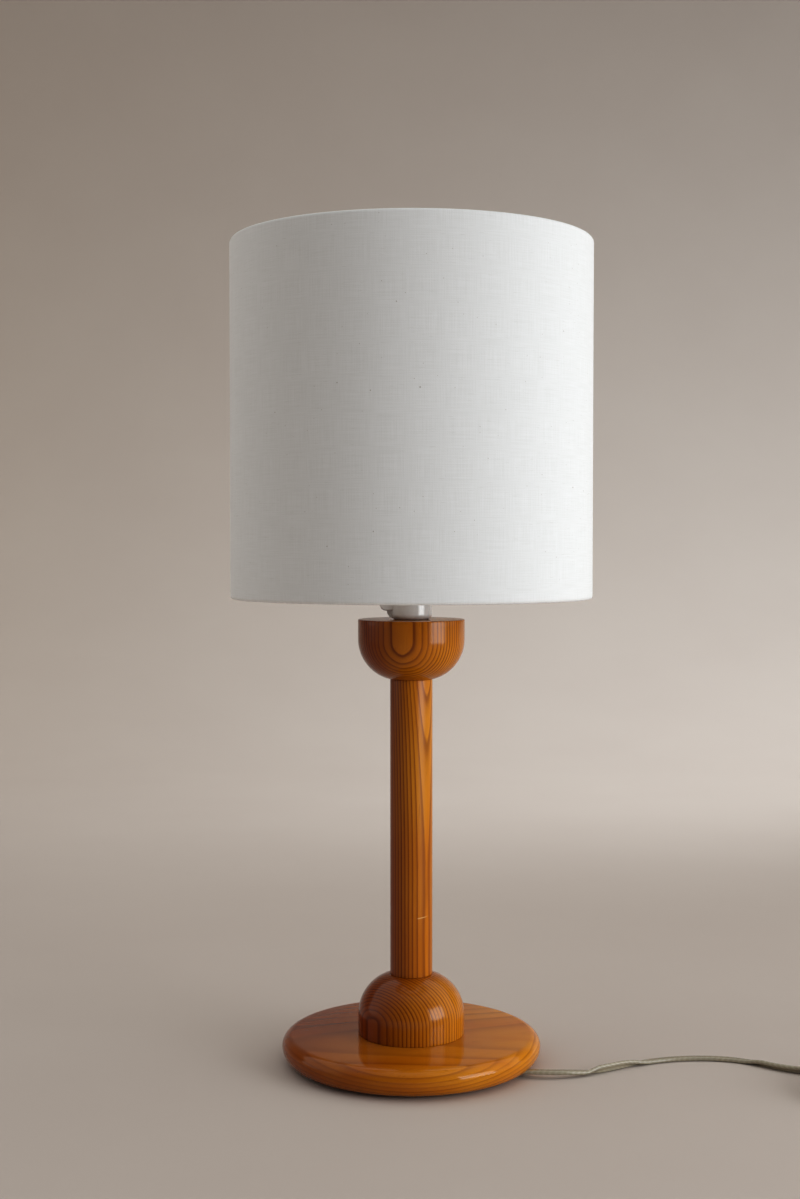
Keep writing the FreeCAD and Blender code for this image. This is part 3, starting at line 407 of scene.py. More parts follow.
# %% Dome and bowl
band, turning_radius, seat = 13.6, 37.1, 15.1
run, rise = turning_radius - seat, turning_height - band
round_radius = (run * run + rise * rise) / (2 * run)
round_centre = (turning_radius - round_radius, band)
seat_angle = math.degrees(math.atan2(rise, seat - round_centre[0]))
turning_outline = arc((turning_radius - 0.5, 0.5), 0.5, -90, 0, 4)
turning_outline += [(turning_radius, 4.0), (turning_radius, 9.0)]
turning_outline += arc(round_centre, round_radius, 0, seat_angle - 0.6, 30)
turning_outline += [(seat - 0.25, turning_height - 0.02), (seat - 0.8, turning_height)]


def turning(name, bottom, upside_down, hole):
    """Dome, or bowl if it is upside down. hole is the outline of its bore, from the seat to the band's edge."""
    outline = turning_outline + hole
    if upside_down:
        outline = [(radius, turning_height - height) for radius, height in outline]
    outline = [(radius, bottom + height) for radius, height in outline]
    return turned(name, outline + outline[:1])


dome = turning("dome", foot_top, False, [(bore, turning_height), (bore, 0), (20.0, 0)])
finish_piece(dome, ["lower_dome"])
nut_radius, nut_depth = 11.5, 6.2
bowl_hole = [
    (bore, turning_height), (bore, nut_depth), (nut_radius, nut_depth), (nut_radius, 0.3),
    (nut_radius + 0.3, 0), (24.0, 0),
]
bowl = turning("bowl", column_top, True, bowl_hole)
finish_piece(bowl, ["upper_bowl"])

# %% [markdown]
# The column is a plain turned rod between them. It is a little narrower than the seats that it stands
# between, which leaves the fine shadow line at each end.

# %% Column
column_radius, end_round = 14.7, 0.5
corner = column_radius - end_round
column_outline = [(bore, column_bottom), (corner, column_bottom)]
column_outline += arc((corner, column_bottom + end_round), end_round, -90, 0, 4)[1:]
column_outline += [(column_radius, column_bottom + column_length * share) for share in (0.2, 0.4, 0.6, 0.8)]
column_outline += arc((corner, column_top - end_round), end_round, 0, 90, 4)
column_outline += [(bore, column_top), (bore, column_bottom)]
column = turned("column_rod", column_outline, 128)
finish_piece(column, ["column"])

# %% [markdown]
# A disc of felt under the foot keeps it from scratching the table. It is stamped from a sheet, so its edge
# is soft and slightly rounded.

# %% Felt
felt_edge = foot_bottom / 2
felt_flat = 75.9
felt_outline = [(0, 0), (40, 0), (felt_flat, 0)] + arc((felt_flat, felt_edge), felt_edge, -90, 90, 6)
felt_outline += [(felt_flat, foot_bottom), (40, foot_bottom), (0, foot_bottom)]
felt = turned("felt_disc", felt_outline, 128)
finish_piece(felt, ["felt_pad"])

# %% [markdown]
# The shade is a sheet of white cotton on a stiff film, rolled into a drum and turned in over a wire ring at
# each edge. The cloth is drawn as one outline 0.6 mm thick: up the outside, over the upper wire, a short
# way down inside, and the same at the bottom. It is one piece, so no seam shows where the cloth turns over.
# It gets a map measured in metres, so that its weave keeps its real scale.

# %% Shade cloth
SHADE_STEPS = 256
lower_wire, upper_wire, wire_radius = 326.7, 566.7, 122.5
cloth_outside, cloth_inside, film_inside = 125.0, 124.4, 123.9


def rolled_edge(side_radius, end_radius):
    """One face of the cloth from the drum's side over the wire and down inside, around (wire radius, 0)."""
    middle, radius = (wire_radius, 0), side_radius - wire_radius
    face = arc(middle, radius, 0, 180, 16) + arc(middle, radius, 192, 255, 5)
    return face + [(end_radius, -3.6), (end_radius + 0.1, -6.4), (end_radius, -9.7)]


def measured_map(piece):
    """UV map in metres: round the shade and up it."""
    layer = piece.data.uv_layers.new(name="Weave")
    drum = cloth_outside * MM
    for face in piece.data.polygons:
        middle = math.atan2(face.center.y, face.center.x)
        for loop in face.loop_indices:
            place = piece.data.vertices[piece.data.loops[loop].vertex_index].co
            angle = math.atan2(place.y, place.x)
            angle += round((middle - angle) / (2 * math.pi)) * 2 * math.pi
            layer.data[loop].uv = (angle * drum, place.z + 0.5 * (drum - math.hypot(place.x, place.y)))


outer_roll, inner_roll = rolled_edge(cloth_outside, 123.2), rolled_edge(cloth_inside, 123.75)
side_heights = [lower_wire + (upper_wire - lower_wire) * k / 12 for k in range(1, 12)]
cloth_outline = [(radius, lower_wire - height) for radius, height in reversed(outer_roll)]
cloth_outline += [(cloth_outside, height) for height in side_heights]
cloth_outline += [(radius, upper_wire + height) for radius, height in outer_roll]
cloth_outline += [(radius, upper_wire + height) for radius, height in reversed(inner_roll)]
cloth_outline += [(cloth_inside, height) for height in reversed(side_heights)]
cloth_outline += [(radius, lower_wire - height) for radius, height in inner_roll]
cloth = turned("shade_cloth", cloth_outline + cloth_outline[:1], SHADE_STEPS)
measured_map(cloth)
finish_piece(cloth, ["shade_fabric", "shade_upper_hem", "shade_lower_hem"])

# %% Film inside the shade
film_heights = [lower_wire + 1.3, 400.0, 480.0, upper_wire - 1.3]
film_outline = [(cloth_inside, height) for height in film_heights]
film_outline += [(film_inside, height) for height in reversed(film_heights)]
lining = turned("shade_film", film_outline + film_outline[:1], SHADE_STEPS)
finish_piece(lining, ["shade_liner"])

# %% [markdown]
# The lamp holder is moulded in glossy white plastic, and sits on the bowl. Its cup has a rounded foot, so
# it is turned. From here on, heights are counted from the bowl's top, as on the holder's own drawing.

# %% Holder cup
cup_height = 29.0


def on_seat(points):
    """Outline with its heights counted from the bowl's top."""
    return [(x, seat_height + height) for x, height in points]


cup_outline = [(0, 0), (10.75, 0)] + arc((10.75, 3.6), 3.6, -90, 0, 12)[1:]
cup_outline += arc((13.95, cup_height - 0.4), 0.4, 0, 90, 4) + [(0, cup_height)]
cup = turned("holder_cup", on_seat(cup_outline), 96)


# %% Plates and picking
def plate(name, outline, half_width):
    """Flat body: an outline of (x, height) points is filled and extruded along Y, evenly about the middle."""
    piece = drawn(name, [(x, -half_width, height) for x, height in outline])
    bpy.ops.mesh.edge_face_add()
    bpy.ops.mesh.extrude_region_move(TRANSFORM_OT_translate={"value": (0, 2 * half_width * MM, 0)})
    bpy.ops.object.mode_set(mode="OBJECT")
    outward(piece)
    return piece


def pick(piece, kind, test):
    """Select the edges or polygons whose corners, in millimetres, pass a test, and stay in edit mode."""
    only(piece)
    bpy.ops.object.mode_set(mode="EDIT")
    bpy.ops.mesh.select_mode(type={"edges": "EDGE", "polygons": "FACE"}[kind])
    bpy.ops.mesh.select_all(action="DESELECT")
    bpy.ops.object.mode_set(mode="OBJECT")
    corners = [piece.matrix_world @ vertex.co / MM for vertex in piece.data.vertices]
    for part in getattr(piece.data, kind):
        part.select = bool(test([corners[v] for v in part.vertices]))
    bpy.ops.object.mode_set(mode="EDIT")


def runs_across(ends):
    """True for an edge that runs along X."""
    return abs(ends[0].x - ends[1].x) > 1


print("plates and picking ready")

# %% [markdown]
# At the left the cup has a box that holds the switch, with a small curved gusset under it. The box is a
# primitive with bevelled edges, and the gusset is a plate. Booleans join them to the cup and then hollow
# all of it out, so that the edges stay crisp where a mould has them.

# %% Switch box and gusset
box_middle, switch_height = seat_height + 16.75, seat_height + 18.0
switch_box = block((21.8, 13.2, 20.9), (-10.9, 0, box_middle))
settle(switch_box)
pick(switch_box, "edges", lambda ends: all(e.x < -21.7 and e.z < box_middle - 10 for e in ends))
bpy.ops.mesh.bevel(offset=4.0 * MM, segments=10, affect="EDGES")
modify(switch_box, "BEVEL", width=0.9 * MM, segments=4, angle_limit=math.radians(50))
gusset_outline = [(-11.5, 1.9)]
gusset_outline += [(-14.35 - 3.0 * share, 1.2 + 5.3 * share**1.8) for share in (0, 0.2, 0.4, 0.6, 0.8, 0.95)]
gusset_outline += [(-17.4, 9), (-11.5, 9)]
combine(cup, switch_box, "UNION")
combine(cup, plate("gusset", on_seat(gusset_outline), 4.0), "UNION")

# %% Hollow the cup
hollow_outline = [(8.0, 3.0), (12.55, 3.0), (12.55, 30), (0, 30), (0, 12.0), (8.0, 12.0), (8.0, 3.0)]
combine(cup, turned("hollow", on_seat(hollow_outline), 96))
combine(cup, block((20.2, 10.0, 17.7), (-10.1, 0, box_middle)))
combine(cup, block((10.0, 9.2, 13.6), (-23.6, 0, switch_height)))         # window of the rocker


def drill(radius, start, end, sides=32):
    """Cylinder to cut with, between two points in millimetres."""
    start, end = Vector(start), Vector(end)
    bpy.ops.object.select_all(action="DESELECT")
    bpy.ops.mesh.primitive_cylinder_add(
        vertices=sides,
        radius=radius * MM,
        depth=(end - start).length * MM,
        location=(start + end) * (0.5 * MM),
        rotation=(end - start).to_track_quat("Z", "Y").to_euler(),
    )
    return bpy.context.object


lock_height = seat_height + 7.5
combine(cup, drill(5.05, (0, 0, seat_height - 1), (0, 0, seat_height + 13), 48))
combine(cup, drill(1.55, (0, 16, lock_height), (0, 5, lock_height)))
combine(cup, drill(1.0, (-19.8, -6.2, switch_height), (-19.8, 6.2, switch_height)))
finish_piece(cup, ["holder_cap"], sharp=32)

# %% [markdown]
# The rocker has a shallow V face, so that one half always stands out. It is a plate with bevelled edges on
# a pin, tilted seven degrees about that pin, and it rides on its own moving body.

# %% Switch rocker
pivot = Vector((-19.8, 0, switch_height))
rocker_outline = [
    (-3.1, -5.8), (-2.4, 0), (-3.1, 5.8), (-0.4, 5.8), (1.6, 2.4), (2.6, 0.7), (2.6, -0.7), (1.6, -2.4),
    (-0.4, -5.8),
]
rocker = plate("rocker_button", [(pivot.x + x, pivot.z + z) for x, z in rocker_outline], 4.2)
modify(rocker, "BEVEL", width=0.3 * MM, segments=3, angle_limit=math.radians(25))
combine(rocker, drill(1.04, (pivot.x, -6, pivot.z), (pivot.x, 6, pivot.z)))
to_pin = Matrix.Translation(pivot * MM)
rocker.data.transform(to_pin @ Matrix.Rotation(math.radians(-7), 4, "Y") @ to_pin.inverted())
finish_piece(rocker, ["switch_rocker"], body="rocker")

# %% [markdown]
# The holder's upper half has a flange that carries the shade and a real screw thread above it for the ring
# that clamps the shade. A thread is one small tooth carried round and up at the same time, which is what
# the Screw modifier does.

# %% Holder sleeve
sleeve_outline = [
    (11.0, 22.0), (12.4, 22.0), (12.4, 29.0), (14.2, 29.0), (14.35, 29.2), (14.35, 31.3), (16.8, 31.3),
]
sleeve_outline += arc((16.8, 31.7), 0.4, -90, 0, 4)[1:] + arc((16.8, 33.1), 0.4, 0, 90, 4)
sleeve_outline += [
    (13.1, 33.5), (13.1, 50.6), (12.7, 51.0), (9.8, 51.0), (9.4, 50.6), (9.4, 49.5), (11.0, 49.5), (11.0, 22.0),
]
sleeve = turned("holder_thread", on_seat(sleeve_outline), 128)

# %% Screw thread
tooth_outline = [(12.95, 34.2), (14.0, 34.65), (12.95, 35.7), (14.0, 35.15)]
thread_pitch, thread_turns = 2.0, 7
bpy.ops.object.select_all(action="DESELECT")
bpy.ops.mesh.primitive_plane_add(size=1)
tooth = bpy.context.object
for vertex, (radius, height) in zip(tooth.data.vertices, on_seat(tooth_outline)):
    vertex.co = (radius * MM, 0, height * MM)
only(tooth)
bpy.ops.object.mode_set(mode="EDIT")
bpy.ops.mesh.select_all(action="SELECT")
bpy.ops.mesh.delete(type="ONLY_FACE")
modify(
    tooth, "SCREW", axis="Z", angle=2 * math.pi, screw_offset=thread_pitch * MM, iterations=thread_turns,
    steps=96, render_steps=96, use_merge_vertices=False,
)
bpy.ops.object.mode_set(mode="EDIT")
bpy.ops.mesh.select_mode(type="VERT")
bpy.ops.mesh.select_all(action="DESELECT")
bpy.ops.mesh.select_non_manifold()
bpy.ops.mesh.fill()
outward(tooth)
only(sleeve)
tooth.select_set(True)
bpy.ops.object.join()
finish_piece(sleeve, ["holder_sleeve"], sharp=30)

# %% [markdown]
# The ring that clamps the shade has eighteen finger grips. One round cutter is made at the ring's edge,
# spun into eighteen copies, and taken away from a turned ring in one boolean.

# %% Clamping ring
GRIPS = 18
ring_outline = [(14.1, 35.15), (18.2, 35.15), (18.6, 35.55), (18.6, 40.5)]
ring_outline += arc((18.0, 40.5), 0.6, 0, 90, 4)[1:] + [(14.6, 41.1), (14.1, 40.6), (14.1, 35.15)]
clamp_ring = turned("clamping_ring", on_seat(ring_outline), 144)
grips = drill(1.3, (19.25, 0, seat_height + 34.3), (19.25, 0, seat_height + 42.3), 20)
settle(grips)
bpy.ops.object.mode_set(mode="EDIT")
bpy.ops.mesh.select_all(action="SELECT")
bpy.ops.mesh.spin(steps=GRIPS, dupli=True, angle=2 * math.pi, center=(0, 0, 0), axis=(0, 0, 1))
bpy.ops.mesh.select_all(action="SELECT")
bpy.ops.mesh.remove_doubles(threshold=1e-5)
combine(clamp_ring, grips)
finish_piece(clamp_ring, ["shade_retaining_ring"], sharp=40)

# %% [markdown]
# The plug is a flat two-pin one. It starts as a block with its long edges cut off at 45 degrees. The back
# face is then extruded and scaled again and again: down to the waist, to the neck, and along the neck's
# four ribs, which let the flex bend without breaking. Bevels and a subdivision soften it as a mould would.

# %% Plug
plug = block((16.0, 35.3, 13.7), (-8.0, 0, 0))
plug.name = plug.data.name = "plug_shell"
settle(plug)
pick(plug, "edges", runs_across)
bpy.ops.mesh.bevel(offset=4.55 * MM, segments=1, affect="EDGES")
pick(plug, "polygons", lambda ends: all(e.x < -15.9 for e in ends))
# each step is how far the back face moves, and how much it then shrinks across and up
steps_back = [(-5.0, 0.82, 0.96), (-9.0, 0.39, 0.70), (-0.9, 0.90, 0.96)]
steps_back += [(-0.25, 0.84, 0.84), (-0.95, 1.0, 1.0), (-0.25, 1.19, 1.19), (-1.0, 1.0, 1.0)] * 4
steps_back += [(-1.3, 0.97, 0.97)]
for back, across_scale, up_scale in steps_back:
    bpy.ops.mesh.extrude_region_move(TRANSFORM_OT_translate={"value": (back * MM, 0, 0)})
    bpy.ops.transform.resize(value=(1, across_scale, up_scale))
modify(plug, "BEVEL", width=0.9 * MM, segments=3, angle_limit=math.radians(40), use_clamp_overlap=True)
modify(plug, "SUBSURF", levels=2, render_levels=2)

# %% Put the plug on the flex
flex_to_pins = 42.0
tail_end, before_end = Vector(route_to_plug[-1]), Vector(route_to_plug[-2])
plug_heading = math.atan2(tail_end.y - before_end.y, tail_end.x - before_end.x)
plug_front = tail_end + Vector((math.cos(plug_heading), math.sin(plug_heading), 0)) * flex_to_pins
plug.location = plug_front * MM
plug.rotation_euler = (0, 0, plug_heading)
finish_piece(plug, ["plug_body"], sharp=50)
outward(plug)

# %% [markdown]
# A strip of soft plastic holds the coil together. It is a block as large as the bundle of turns, with its
# long edges rounded, opened at both ends and given a wall, and a second layer where the strip's end is
# pressed down.

# %% Tie
strip_width, tie_middle = 5.0, (coil_centre[0], coil_centre[1] - 32.1)
tie = block((strip_width, 25.9, 13.95), (*tie_middle, 7.175))
tie.name = tie.data.name = "tie_strip"
settle(tie)
pick(tie, "edges", runs_across)
bpy.ops.mesh.bevel(offset=3.6 * MM, segments=8, affect="EDGES")
pick(tie, "polygons", lambda ends: max(e.x for e in ends) - min(e.x for e in ends) < 0.1)
bpy.ops.mesh.delete(type="FACE")
outward(tie)
modify(tie, "SOLIDIFY", thickness=0.8 * MM, offset=-1)
tab = block((strip_width, 12.0, 0.75), (*tie_middle, 14.5))
settle(tab)
modify(tab, "BEVEL", width=0.3 * MM, segments=3)
only(tie)
tab.select_set(True)
bpy.ops.object.join()
finish_piece(tie, ["flex_tie"])

# %% [markdown]
# The finishes are built from shader nodes, with their maths written as Python. One small class wraps a
# node's socket, so that adding or multiplying two of them adds the Math node for it. Another holds a
# material, and its one method adds any other node. Colours are given as they look on a screen, from 0 to
# 255, and are turned into the linear values that the shader works with.

# %% Shader maths
class Signal:
    """An output socket. Arithmetic on it adds Math nodes."""

    def __init__(self, finish, socket):
        self.finish, self.socket = finish, socket

    def math(self, operation, *others):
        """Math node on this signal and the others that it needs."""
        return self.finish.math(operation, self, *others)

    def __add__(self, other):
        return self.math("ADD", other)

    def __sub__(self, other):
        return self.math("SUBTRACT", other)

    def __rsub__(self, other):
        return self.finish.math("SUBTRACT", other, self)

    def __mul__(self, other):
        return self.math("MULTIPLY", other)

    def __truediv__(self, other):
        return self.math("DIVIDE", other)

    def __pow__(self, other):
        return self.math("POWER", other)

    __radd__ = __add__
    __rmul__ = __mul__


class Finish:
    """A material. Constants go on its shader's own sockets, and patterns come from node()."""

    def __init__(self, name, constants):
        self.material = bpy.data.materials.new(name)
        self.material.use_nodes = True
        self.tree = self.material.node_tree
        self.surface = self.tree.nodes["Principled BSDF"]
        for socket, value in constants.items():
            self.surface.inputs[socket].default_value = value

    def node(self, kind, settings=None, values=None, output=0):
        """Any node: its settings are set first, then the values or links of its sockets."""
        node = self.tree.nodes.new(kind)
        for name, setting in (settings or {}).items():
            if name == "stops":
                ramp = node.color_ramp.elements
                while len(ramp) < len(setting):
                    ramp.new(0.5)
                for stop, (position, colour) in zip(ramp, setting):
                    stop.position, stop.color = position, colour
            else:
                setattr(node, name, setting)
        for socket, value in (values or {}).items():
            if isinstance(value, Signal):
                self.tree.links.new(value.socket, node.inputs[socket])
            else:
                node.inputs[socket].default_value = value
        return Signal(self, node.outputs[output])

    def math(self, operation, *values):
        return self.node("ShaderNodeMath", {"operation": operation}, dict(enumerate(values)))

    def feed(self, socket, signal):
        self.tree.links.new(signal.socket, self.surface.inputs[socket])


print("shader maths ready")


# %% Colours and patterns
def screen(red, green, blue):
    """Linear colour of a screen colour."""
    return tuple(
        (c / 255 / 12.92) if c <= 10 else ((c / 255 + 0.055) / 1.055) ** 2.4 for c in (red, green, blue)
    ) + (1.0,)


def grey(value):
    """Linear grey."""
    return (value, value, value, 1.0)


def mixed(factor, first, second):
    """Colour between two, by a factor."""
    return factor.finish.node("ShaderNodeMix", {"data_type": "RGBA"}, {0: factor, 6: first, 7: second}, 2)


def vector_math(place, operation, values, output=0):
    """A place or a colour, worked on with a vector."""
    return place.finish.node("ShaderNodeVectorMath", {"operation": operation}, {0: place, 1: values}, output)


def stretched(place, x, y, z):
    """Coordinates scaled along each axis, so that a pattern is drawn out."""
    return vector_math(place, "MULTIPLY", (x, y, z))


def noise(place, detail=2.0, roughness=0.5):
    """Cloudy noise around 0.5 at one cycle to a unit of its coordinates."""
    values = {"Vector": place, "Scale": 1.0, "Detail": detail, "Roughness": roughness}
    return place.finish.node("ShaderNodeTexNoise", {"noise_dimensions": "3D"}, values)


def stepped(value, low, high):
    """Smooth step from 0 at low to 1 at high."""
    settings, values = {"interpolation_type": "SMOOTHSTEP"}, {"Value": value, "From Min": low, "From Max": high}
    return value.finish.node("ShaderNodeMapRange", settings, values)


def axis(place, name):
    """One coordinate of a place."""
    return place.finish.node("ShaderNodeSeparateXYZ", None, {0: place}, name)


def bumped(finish, height, strength, distance):
    """Feed a height into the surface's normal."""
    values = {"Strength": strength, "Distance": distance, "Height": height}
    finish.feed("Normal", finish.node("ShaderNodeBump", None, values))


def object_place(finish):
    """Object coordinates, in metres."""
    return finish.node("ShaderNodeTexCoord", None, None, "Object")


def place_in_mm(finish):
    """Object coordinates, in millimetres."""
    return stretched(object_place(finish), 1000, 1000, 1000)


def dress(finish, *pieces):
    """Give pieces or construction nodes a finish."""
    for piece in pieces:
        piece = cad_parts[piece] if isinstance(piece, str) else piece
        piece.data.materials.clear()
        piece.data.materials.append(finish.material)


print("patterns ready")

# %% [markdown]
# Pine is pale wood laid down each spring and a dark line of summer wood that ends sharply when growth stops
# in autumn. The rings are cylinders round the trunk's heart, so a turned piece shows straight lines, arches
# or nested bowls, depending on where the heart was. The finish follows that: it measures how far a point is
# from the heart, counts the years, and darkens the end of each. Rings are wide near the heart and get
# narrower outwards, so the count is a logarithm. A trunk also bends, which draws out the arches' tips.
# Every piece has its own trunk, placed so that its arches fall where the photograph has them. The wood is
# painted darker on the side away from the window, which is painted shade. Clear lacquer is a coat on top.

# %% Lacquered pine
SPRING, LATE_SPRING = screen(224, 152, 38), screen(208, 128, 18)
SUMMER, FIBRE, RESIN = screen(122, 50, 2), screen(176, 98, 14), screen(110, 50, 4)
PAINTED_SHADE_TINT = (0.36, 0.17, 0.05)                               # what the painted shade on the side away from the window leaves of red, green and blue
TO_WINDOW = (0.94, -0.34, 0.0)
# darkness over one year: the sharp end of last year's ring, pale spring, and the rise to the next line
YEAR = [(0.0, 0.45), (0.05, 0.0), (0.4, 0.06), (0.66, 0.34), (0.84, 0.9), (0.94, 1.0), (1.0, 0.5)]


def pine(name, heart, rings, phase, painted_shade_span, gloss, grain=(0.0, 0.0, 1.0), sweep=(0.0, 1, 0.0), contrast=1.0):
    """Pine from a trunk. grain is its direction and heart a point on its middle, in mm. rings are the yearly
    growth, the distance from the heart where it has that width, and how much wider it gets for each mm towards
    the heart. sweep is a height, +1 or -1 for the way from there, and how fast the trunk bends.
    painted_shade_span is how far to the left the painted shade makes the wood darkest and to the right palest,
    and gloss is the lacquer's roughness."""
    lacquer = {"Coat Weight": 1.0, "Coat Roughness": gloss, "Coat IOR": 1.38}
    wood = Finish(name, {"Roughness": 0.5, "Specular IOR Level": 0.0} | lacquer)
    to_trunk = Vector(grain).rotation_difference(Vector((0, 0, 1))).to_matrix()
    in_mm = {"Vector": object_place(wood), "Scale": (1000, 1000, 1000)}
    shift = {"Location": -(to_trunk @ Vector(heart)), "Rotation": to_trunk.to_euler()}
    trunk = wood.node("ShaderNodeMapping", {"vector_type": "POINT"}, in_mm | shift)
    x, y = axis(trunk, "X"), axis(trunk, "Y")
    place = place_in_mm(wood)
    bend_from, bend_way, bend_rate = sweep
    bend = ((axis(place, "Z") - bend_from) * bend_way).math("MAXIMUM", 0.0)
    slow = noise(stretched(trunk, 0.022, 0.022, 0.006)) - 0.5
    quick = noise(stretched(trunk, 0.12, 0.12, 0.012)) - 0.5
    radius = (x * x + y * y) ** 0.5 + bend * bend * bend_rate + slow * 1.1 + quick * 0.35
    width, at, widening = rings
    growth = ((at - radius) * widening + width).math("MAXIMUM", width * 0.35)
    years = phase - growth.math("LOGARITHM", math.e) / widening
    stops = [(share, grey(darkness)) for share, darkness in YEAR]
    summer = wood.node("ShaderNodeValToRGB", {"stops": stops}, {"Fac": years.math("FRACT")})
    each_year = wood.node("ShaderNodeTexWhiteNoise", {"noise_dimensions": "1D"}, {"W": years.math("FLOOR")})
    fibre = noise(stretched(trunk, 3.2, 3.2, 0.05), 3.0, 0.6)
    dashes = stepped(noise(stretched(trunk, 1.3, 1.3, 0.07), 1.0), 0.71, 0.77)
    cloud = noise(stretched(trunk, 0.03, 0.03, 0.008))
    body = mixed(stepped(cloud, 0.35, 0.68), SPRING, LATE_SPRING)
    body = mixed(summer * (0.6 + 0.4 * each_year) * contrast, body, SUMMER)
    body = mixed(stepped(fibre, 0.3, 0.75) * 0.25, body, FIBRE)
    body = mixed(dashes * 0.4, body, RESIN)
    side = vector_math(place, "DOT_PRODUCT", TO_WINDOW, "Value")
    # painted shade: the wood is darkened on the side away from the window, where shade falls
    body = mixed(1 - stepped(side, *painted_shade_span), body, vector_math(body, "MULTIPLY", PAINTED_SHADE_TINT))
    wood.feed("Base Color", body)
    bumped(wood, fibre * 0.6 + summer * 0.5, 0.16, 0.00014)
    return wood


def towards(degrees):
    """Level direction, counted from the camera's side and positive to the right."""
    return Vector((math.sin(math.radians(degrees)), -math.cos(math.radians(degrees)), 0))


dome_pine = pine(
    "pine_of_dome", heart=towards(-47) * -62.0, rings=(1.1, 97.0, 0.05), phase=0.17, painted_shade_span=(-28, 52), gloss=0.16
)
bowl_pine = pine(
    "pine_of_bowl", heart=towards(-10) * -70.0, rings=(1.0, 106.5, 0.05), phase=0.93, painted_shade_span=(-36, 50),
    gloss=0.18, sweep=(296.1, -1, 0.0115),
)
column_pine = pine(
    "pine_of_column", heart=towards(47) * -48.0, rings=(1.15, 64.5, 0.1), phase=0.81, painted_shade_span=(-18, 17), gloss=0.3,
    sweep=(128.6, 1, 0.000155),
)
foot_pine = pine(
    "pine_of_foot", heart=(0, -20.0, -240.0), rings=(3.0, 255.0, 0.01), phase=0.3, painted_shade_span=(-100, 100), gloss=0.09,
    grain=(1.0, 0.09, 0.03), contrast=0.42,
)
for finish, piece in zip((foot_pine, dome_pine, column_pine, bowl_pine), (foot, dome, column, bowl)):
    dress(finish, piece)
    print("pine on", piece.name)

# %% [markdown]
# An old lamp has a few marks. The column has one short scratch across its grain, low at the right, where
# the lacquer has gone white. It is a thin level line that runs out at its ends.

# %% Scratch on the column
scratch_height, scratch_slope = 102.6, 0.12
place = place_in_mm(column_pine)
along_scratch = axis(place, "X")
off_scratch = (axis(place, "Z") - along_scratch * scratch_slope - scratch_height).math("ABSOLUTE")
mark = (1 - stepped(off_scratch, 0.15, 0.6)) * stepped(along_scratch, 3.6, 5.0)
mark = mark * (1 - stepped(along_scratch, 7.6, 12.5)) * (1 - stepped(axis(place, "Y"), -6.0, -4.0))
wood_colour = Signal(column_pine, column_pine.surface.inputs["Base Color"].links[0].from_socket)
column_pine.feed("Base Color", mixed(mark * 0.7, wood_colour, screen(236, 196, 132)))
print("scratch at", scratch_height, "mm")

# %% [markdown]
# The shade is covered in plain white cotton. Plain weave is one thread over, one under, both ways. The
# threads are about half a millimetre apart, and a few are thicker or darker than the rest for part of their
# length. The map in metres keeps both at their real scale.

# %% Cotton
THREAD_PITCH = 0.52
cotton = Finish("white_cotton", {"Roughness": 0.95, "Sheen Weight": 0.12, "Sheen Roughness": 0.5})
weave = stretched(cotton.node("ShaderNodeUVMap", {"uv_map": "Weave"}), 1000, 1000, 1)
over, under = ((axis(weave, way) * (math.pi / THREAD_PITCH)).math("SINE") for way in "XY")
level_threads = noise(stretched(weave, 0.045, 1.9, 1))
upright_threads = noise(stretched(weave, 1.9, 0.045, 1))
slubs = stepped(noise(stretched(weave, 0.16, 2.3, 1), 0.0), 0.76, 0.84)
specks = stepped(noise(stretched(weave, 0.55, 0.55, 1), 0.0), 0.85, 0.88)
threads = (level_threads + upright_threads) * 0.5
cloth_colour = mixed(stepped(threads, 0.3, 0.7), screen(234, 235, 235), screen(242, 243, 244))
cloth_colour = mixed(slubs * 0.25, cloth_colour, screen(196, 195, 190))
cloth_colour = mixed(specks * 0.5, cloth_colour, screen(150, 140, 126))
cotton.feed("Base Color", cloth_colour)
bumped(cotton, over * under * 0.5 + threads * 0.9 + slubs * 0.8, 0.22, 0.0002)
dress(cotton, cloth)
print("cotton on", cloth.name)

# %% [markdown]
# The flex is clear plastic over two cores of fine twisted strands, so it looks grey and beige with thin
# slanting lines. The strands are drawn on the map along the cable, and the groove between the cores is
# darker.

# %% Flex
sheath = Finish("clear_flex", {"Roughness": 0.22, "Coat Weight": 0.6, "Coat Roughness": 0.12})
along = stretched(sheath.node("ShaderNodeUVMap", {"uv_map": "Along"}), 1000, 1000, 1)
crosswise, lengthwise = axis(along, "X"), axis(along, "Y")
strand = (lengthwise * 1.6 + crosswise * 2.2).math("SINE")
core = stepped(crosswise.math("ABSOLUTE"), 0.15, 1.1)
metal = noise(stretched(along, 0.2, 0.06, 1), 1.0)
strands = mixed(stepped(strand, -0.6, 0.9), screen(166, 157, 136), screen(178, 169, 149))
strands = mixed(stepped(metal, 0.4, 0.62) * 0.5, strands, screen(162, 156, 140))
sheath.feed("Base Color", mixed(core, screen(152, 142, 121), strands))
dress(sheath, flex, inner_flex)
print("flex finish on", flex.name, "and", inner_flex.name)

# %% [markdown]
# The small parts inside have the finishes of their trade: zinc on the steel, brass contacts, glossy white
# plastic for the holder, brown phenolic for its core, and powder coat on the shade's wires. Each gets a
# little variation, because even new metal and plastic aren't one flat colour.

# %% Small finishes
METAL = {"Metallic": 1.0}
MOULDED = {"Specular IOR Level": 0.6, "Coat Weight": 0.4, "Coat Roughness": 0.08}


def plain(name, colour, second, constants, cycles, bump, shine):
    """Finish with a soft mottle between two colours. cycles is how many there are in a millimetre, bump their
    height in metres, and shine the lowest and highest roughness, if it varies."""
    finish = Finish(name, constants)
    mottle = noise(stretched(place_in_mm(finish), cycles, cycles, cycles), 3.0)
    finish.feed("Base Color", mixed(stepped(mottle, 0.3, 0.7), screen(*colour), screen(*second)))
    if shine:
        finish.feed("Roughness", mottle * (shine[1] - shine[0]) + shine[0])
    if bump:
        bumped(finish, mottle, 0.2, bump)
    return finish


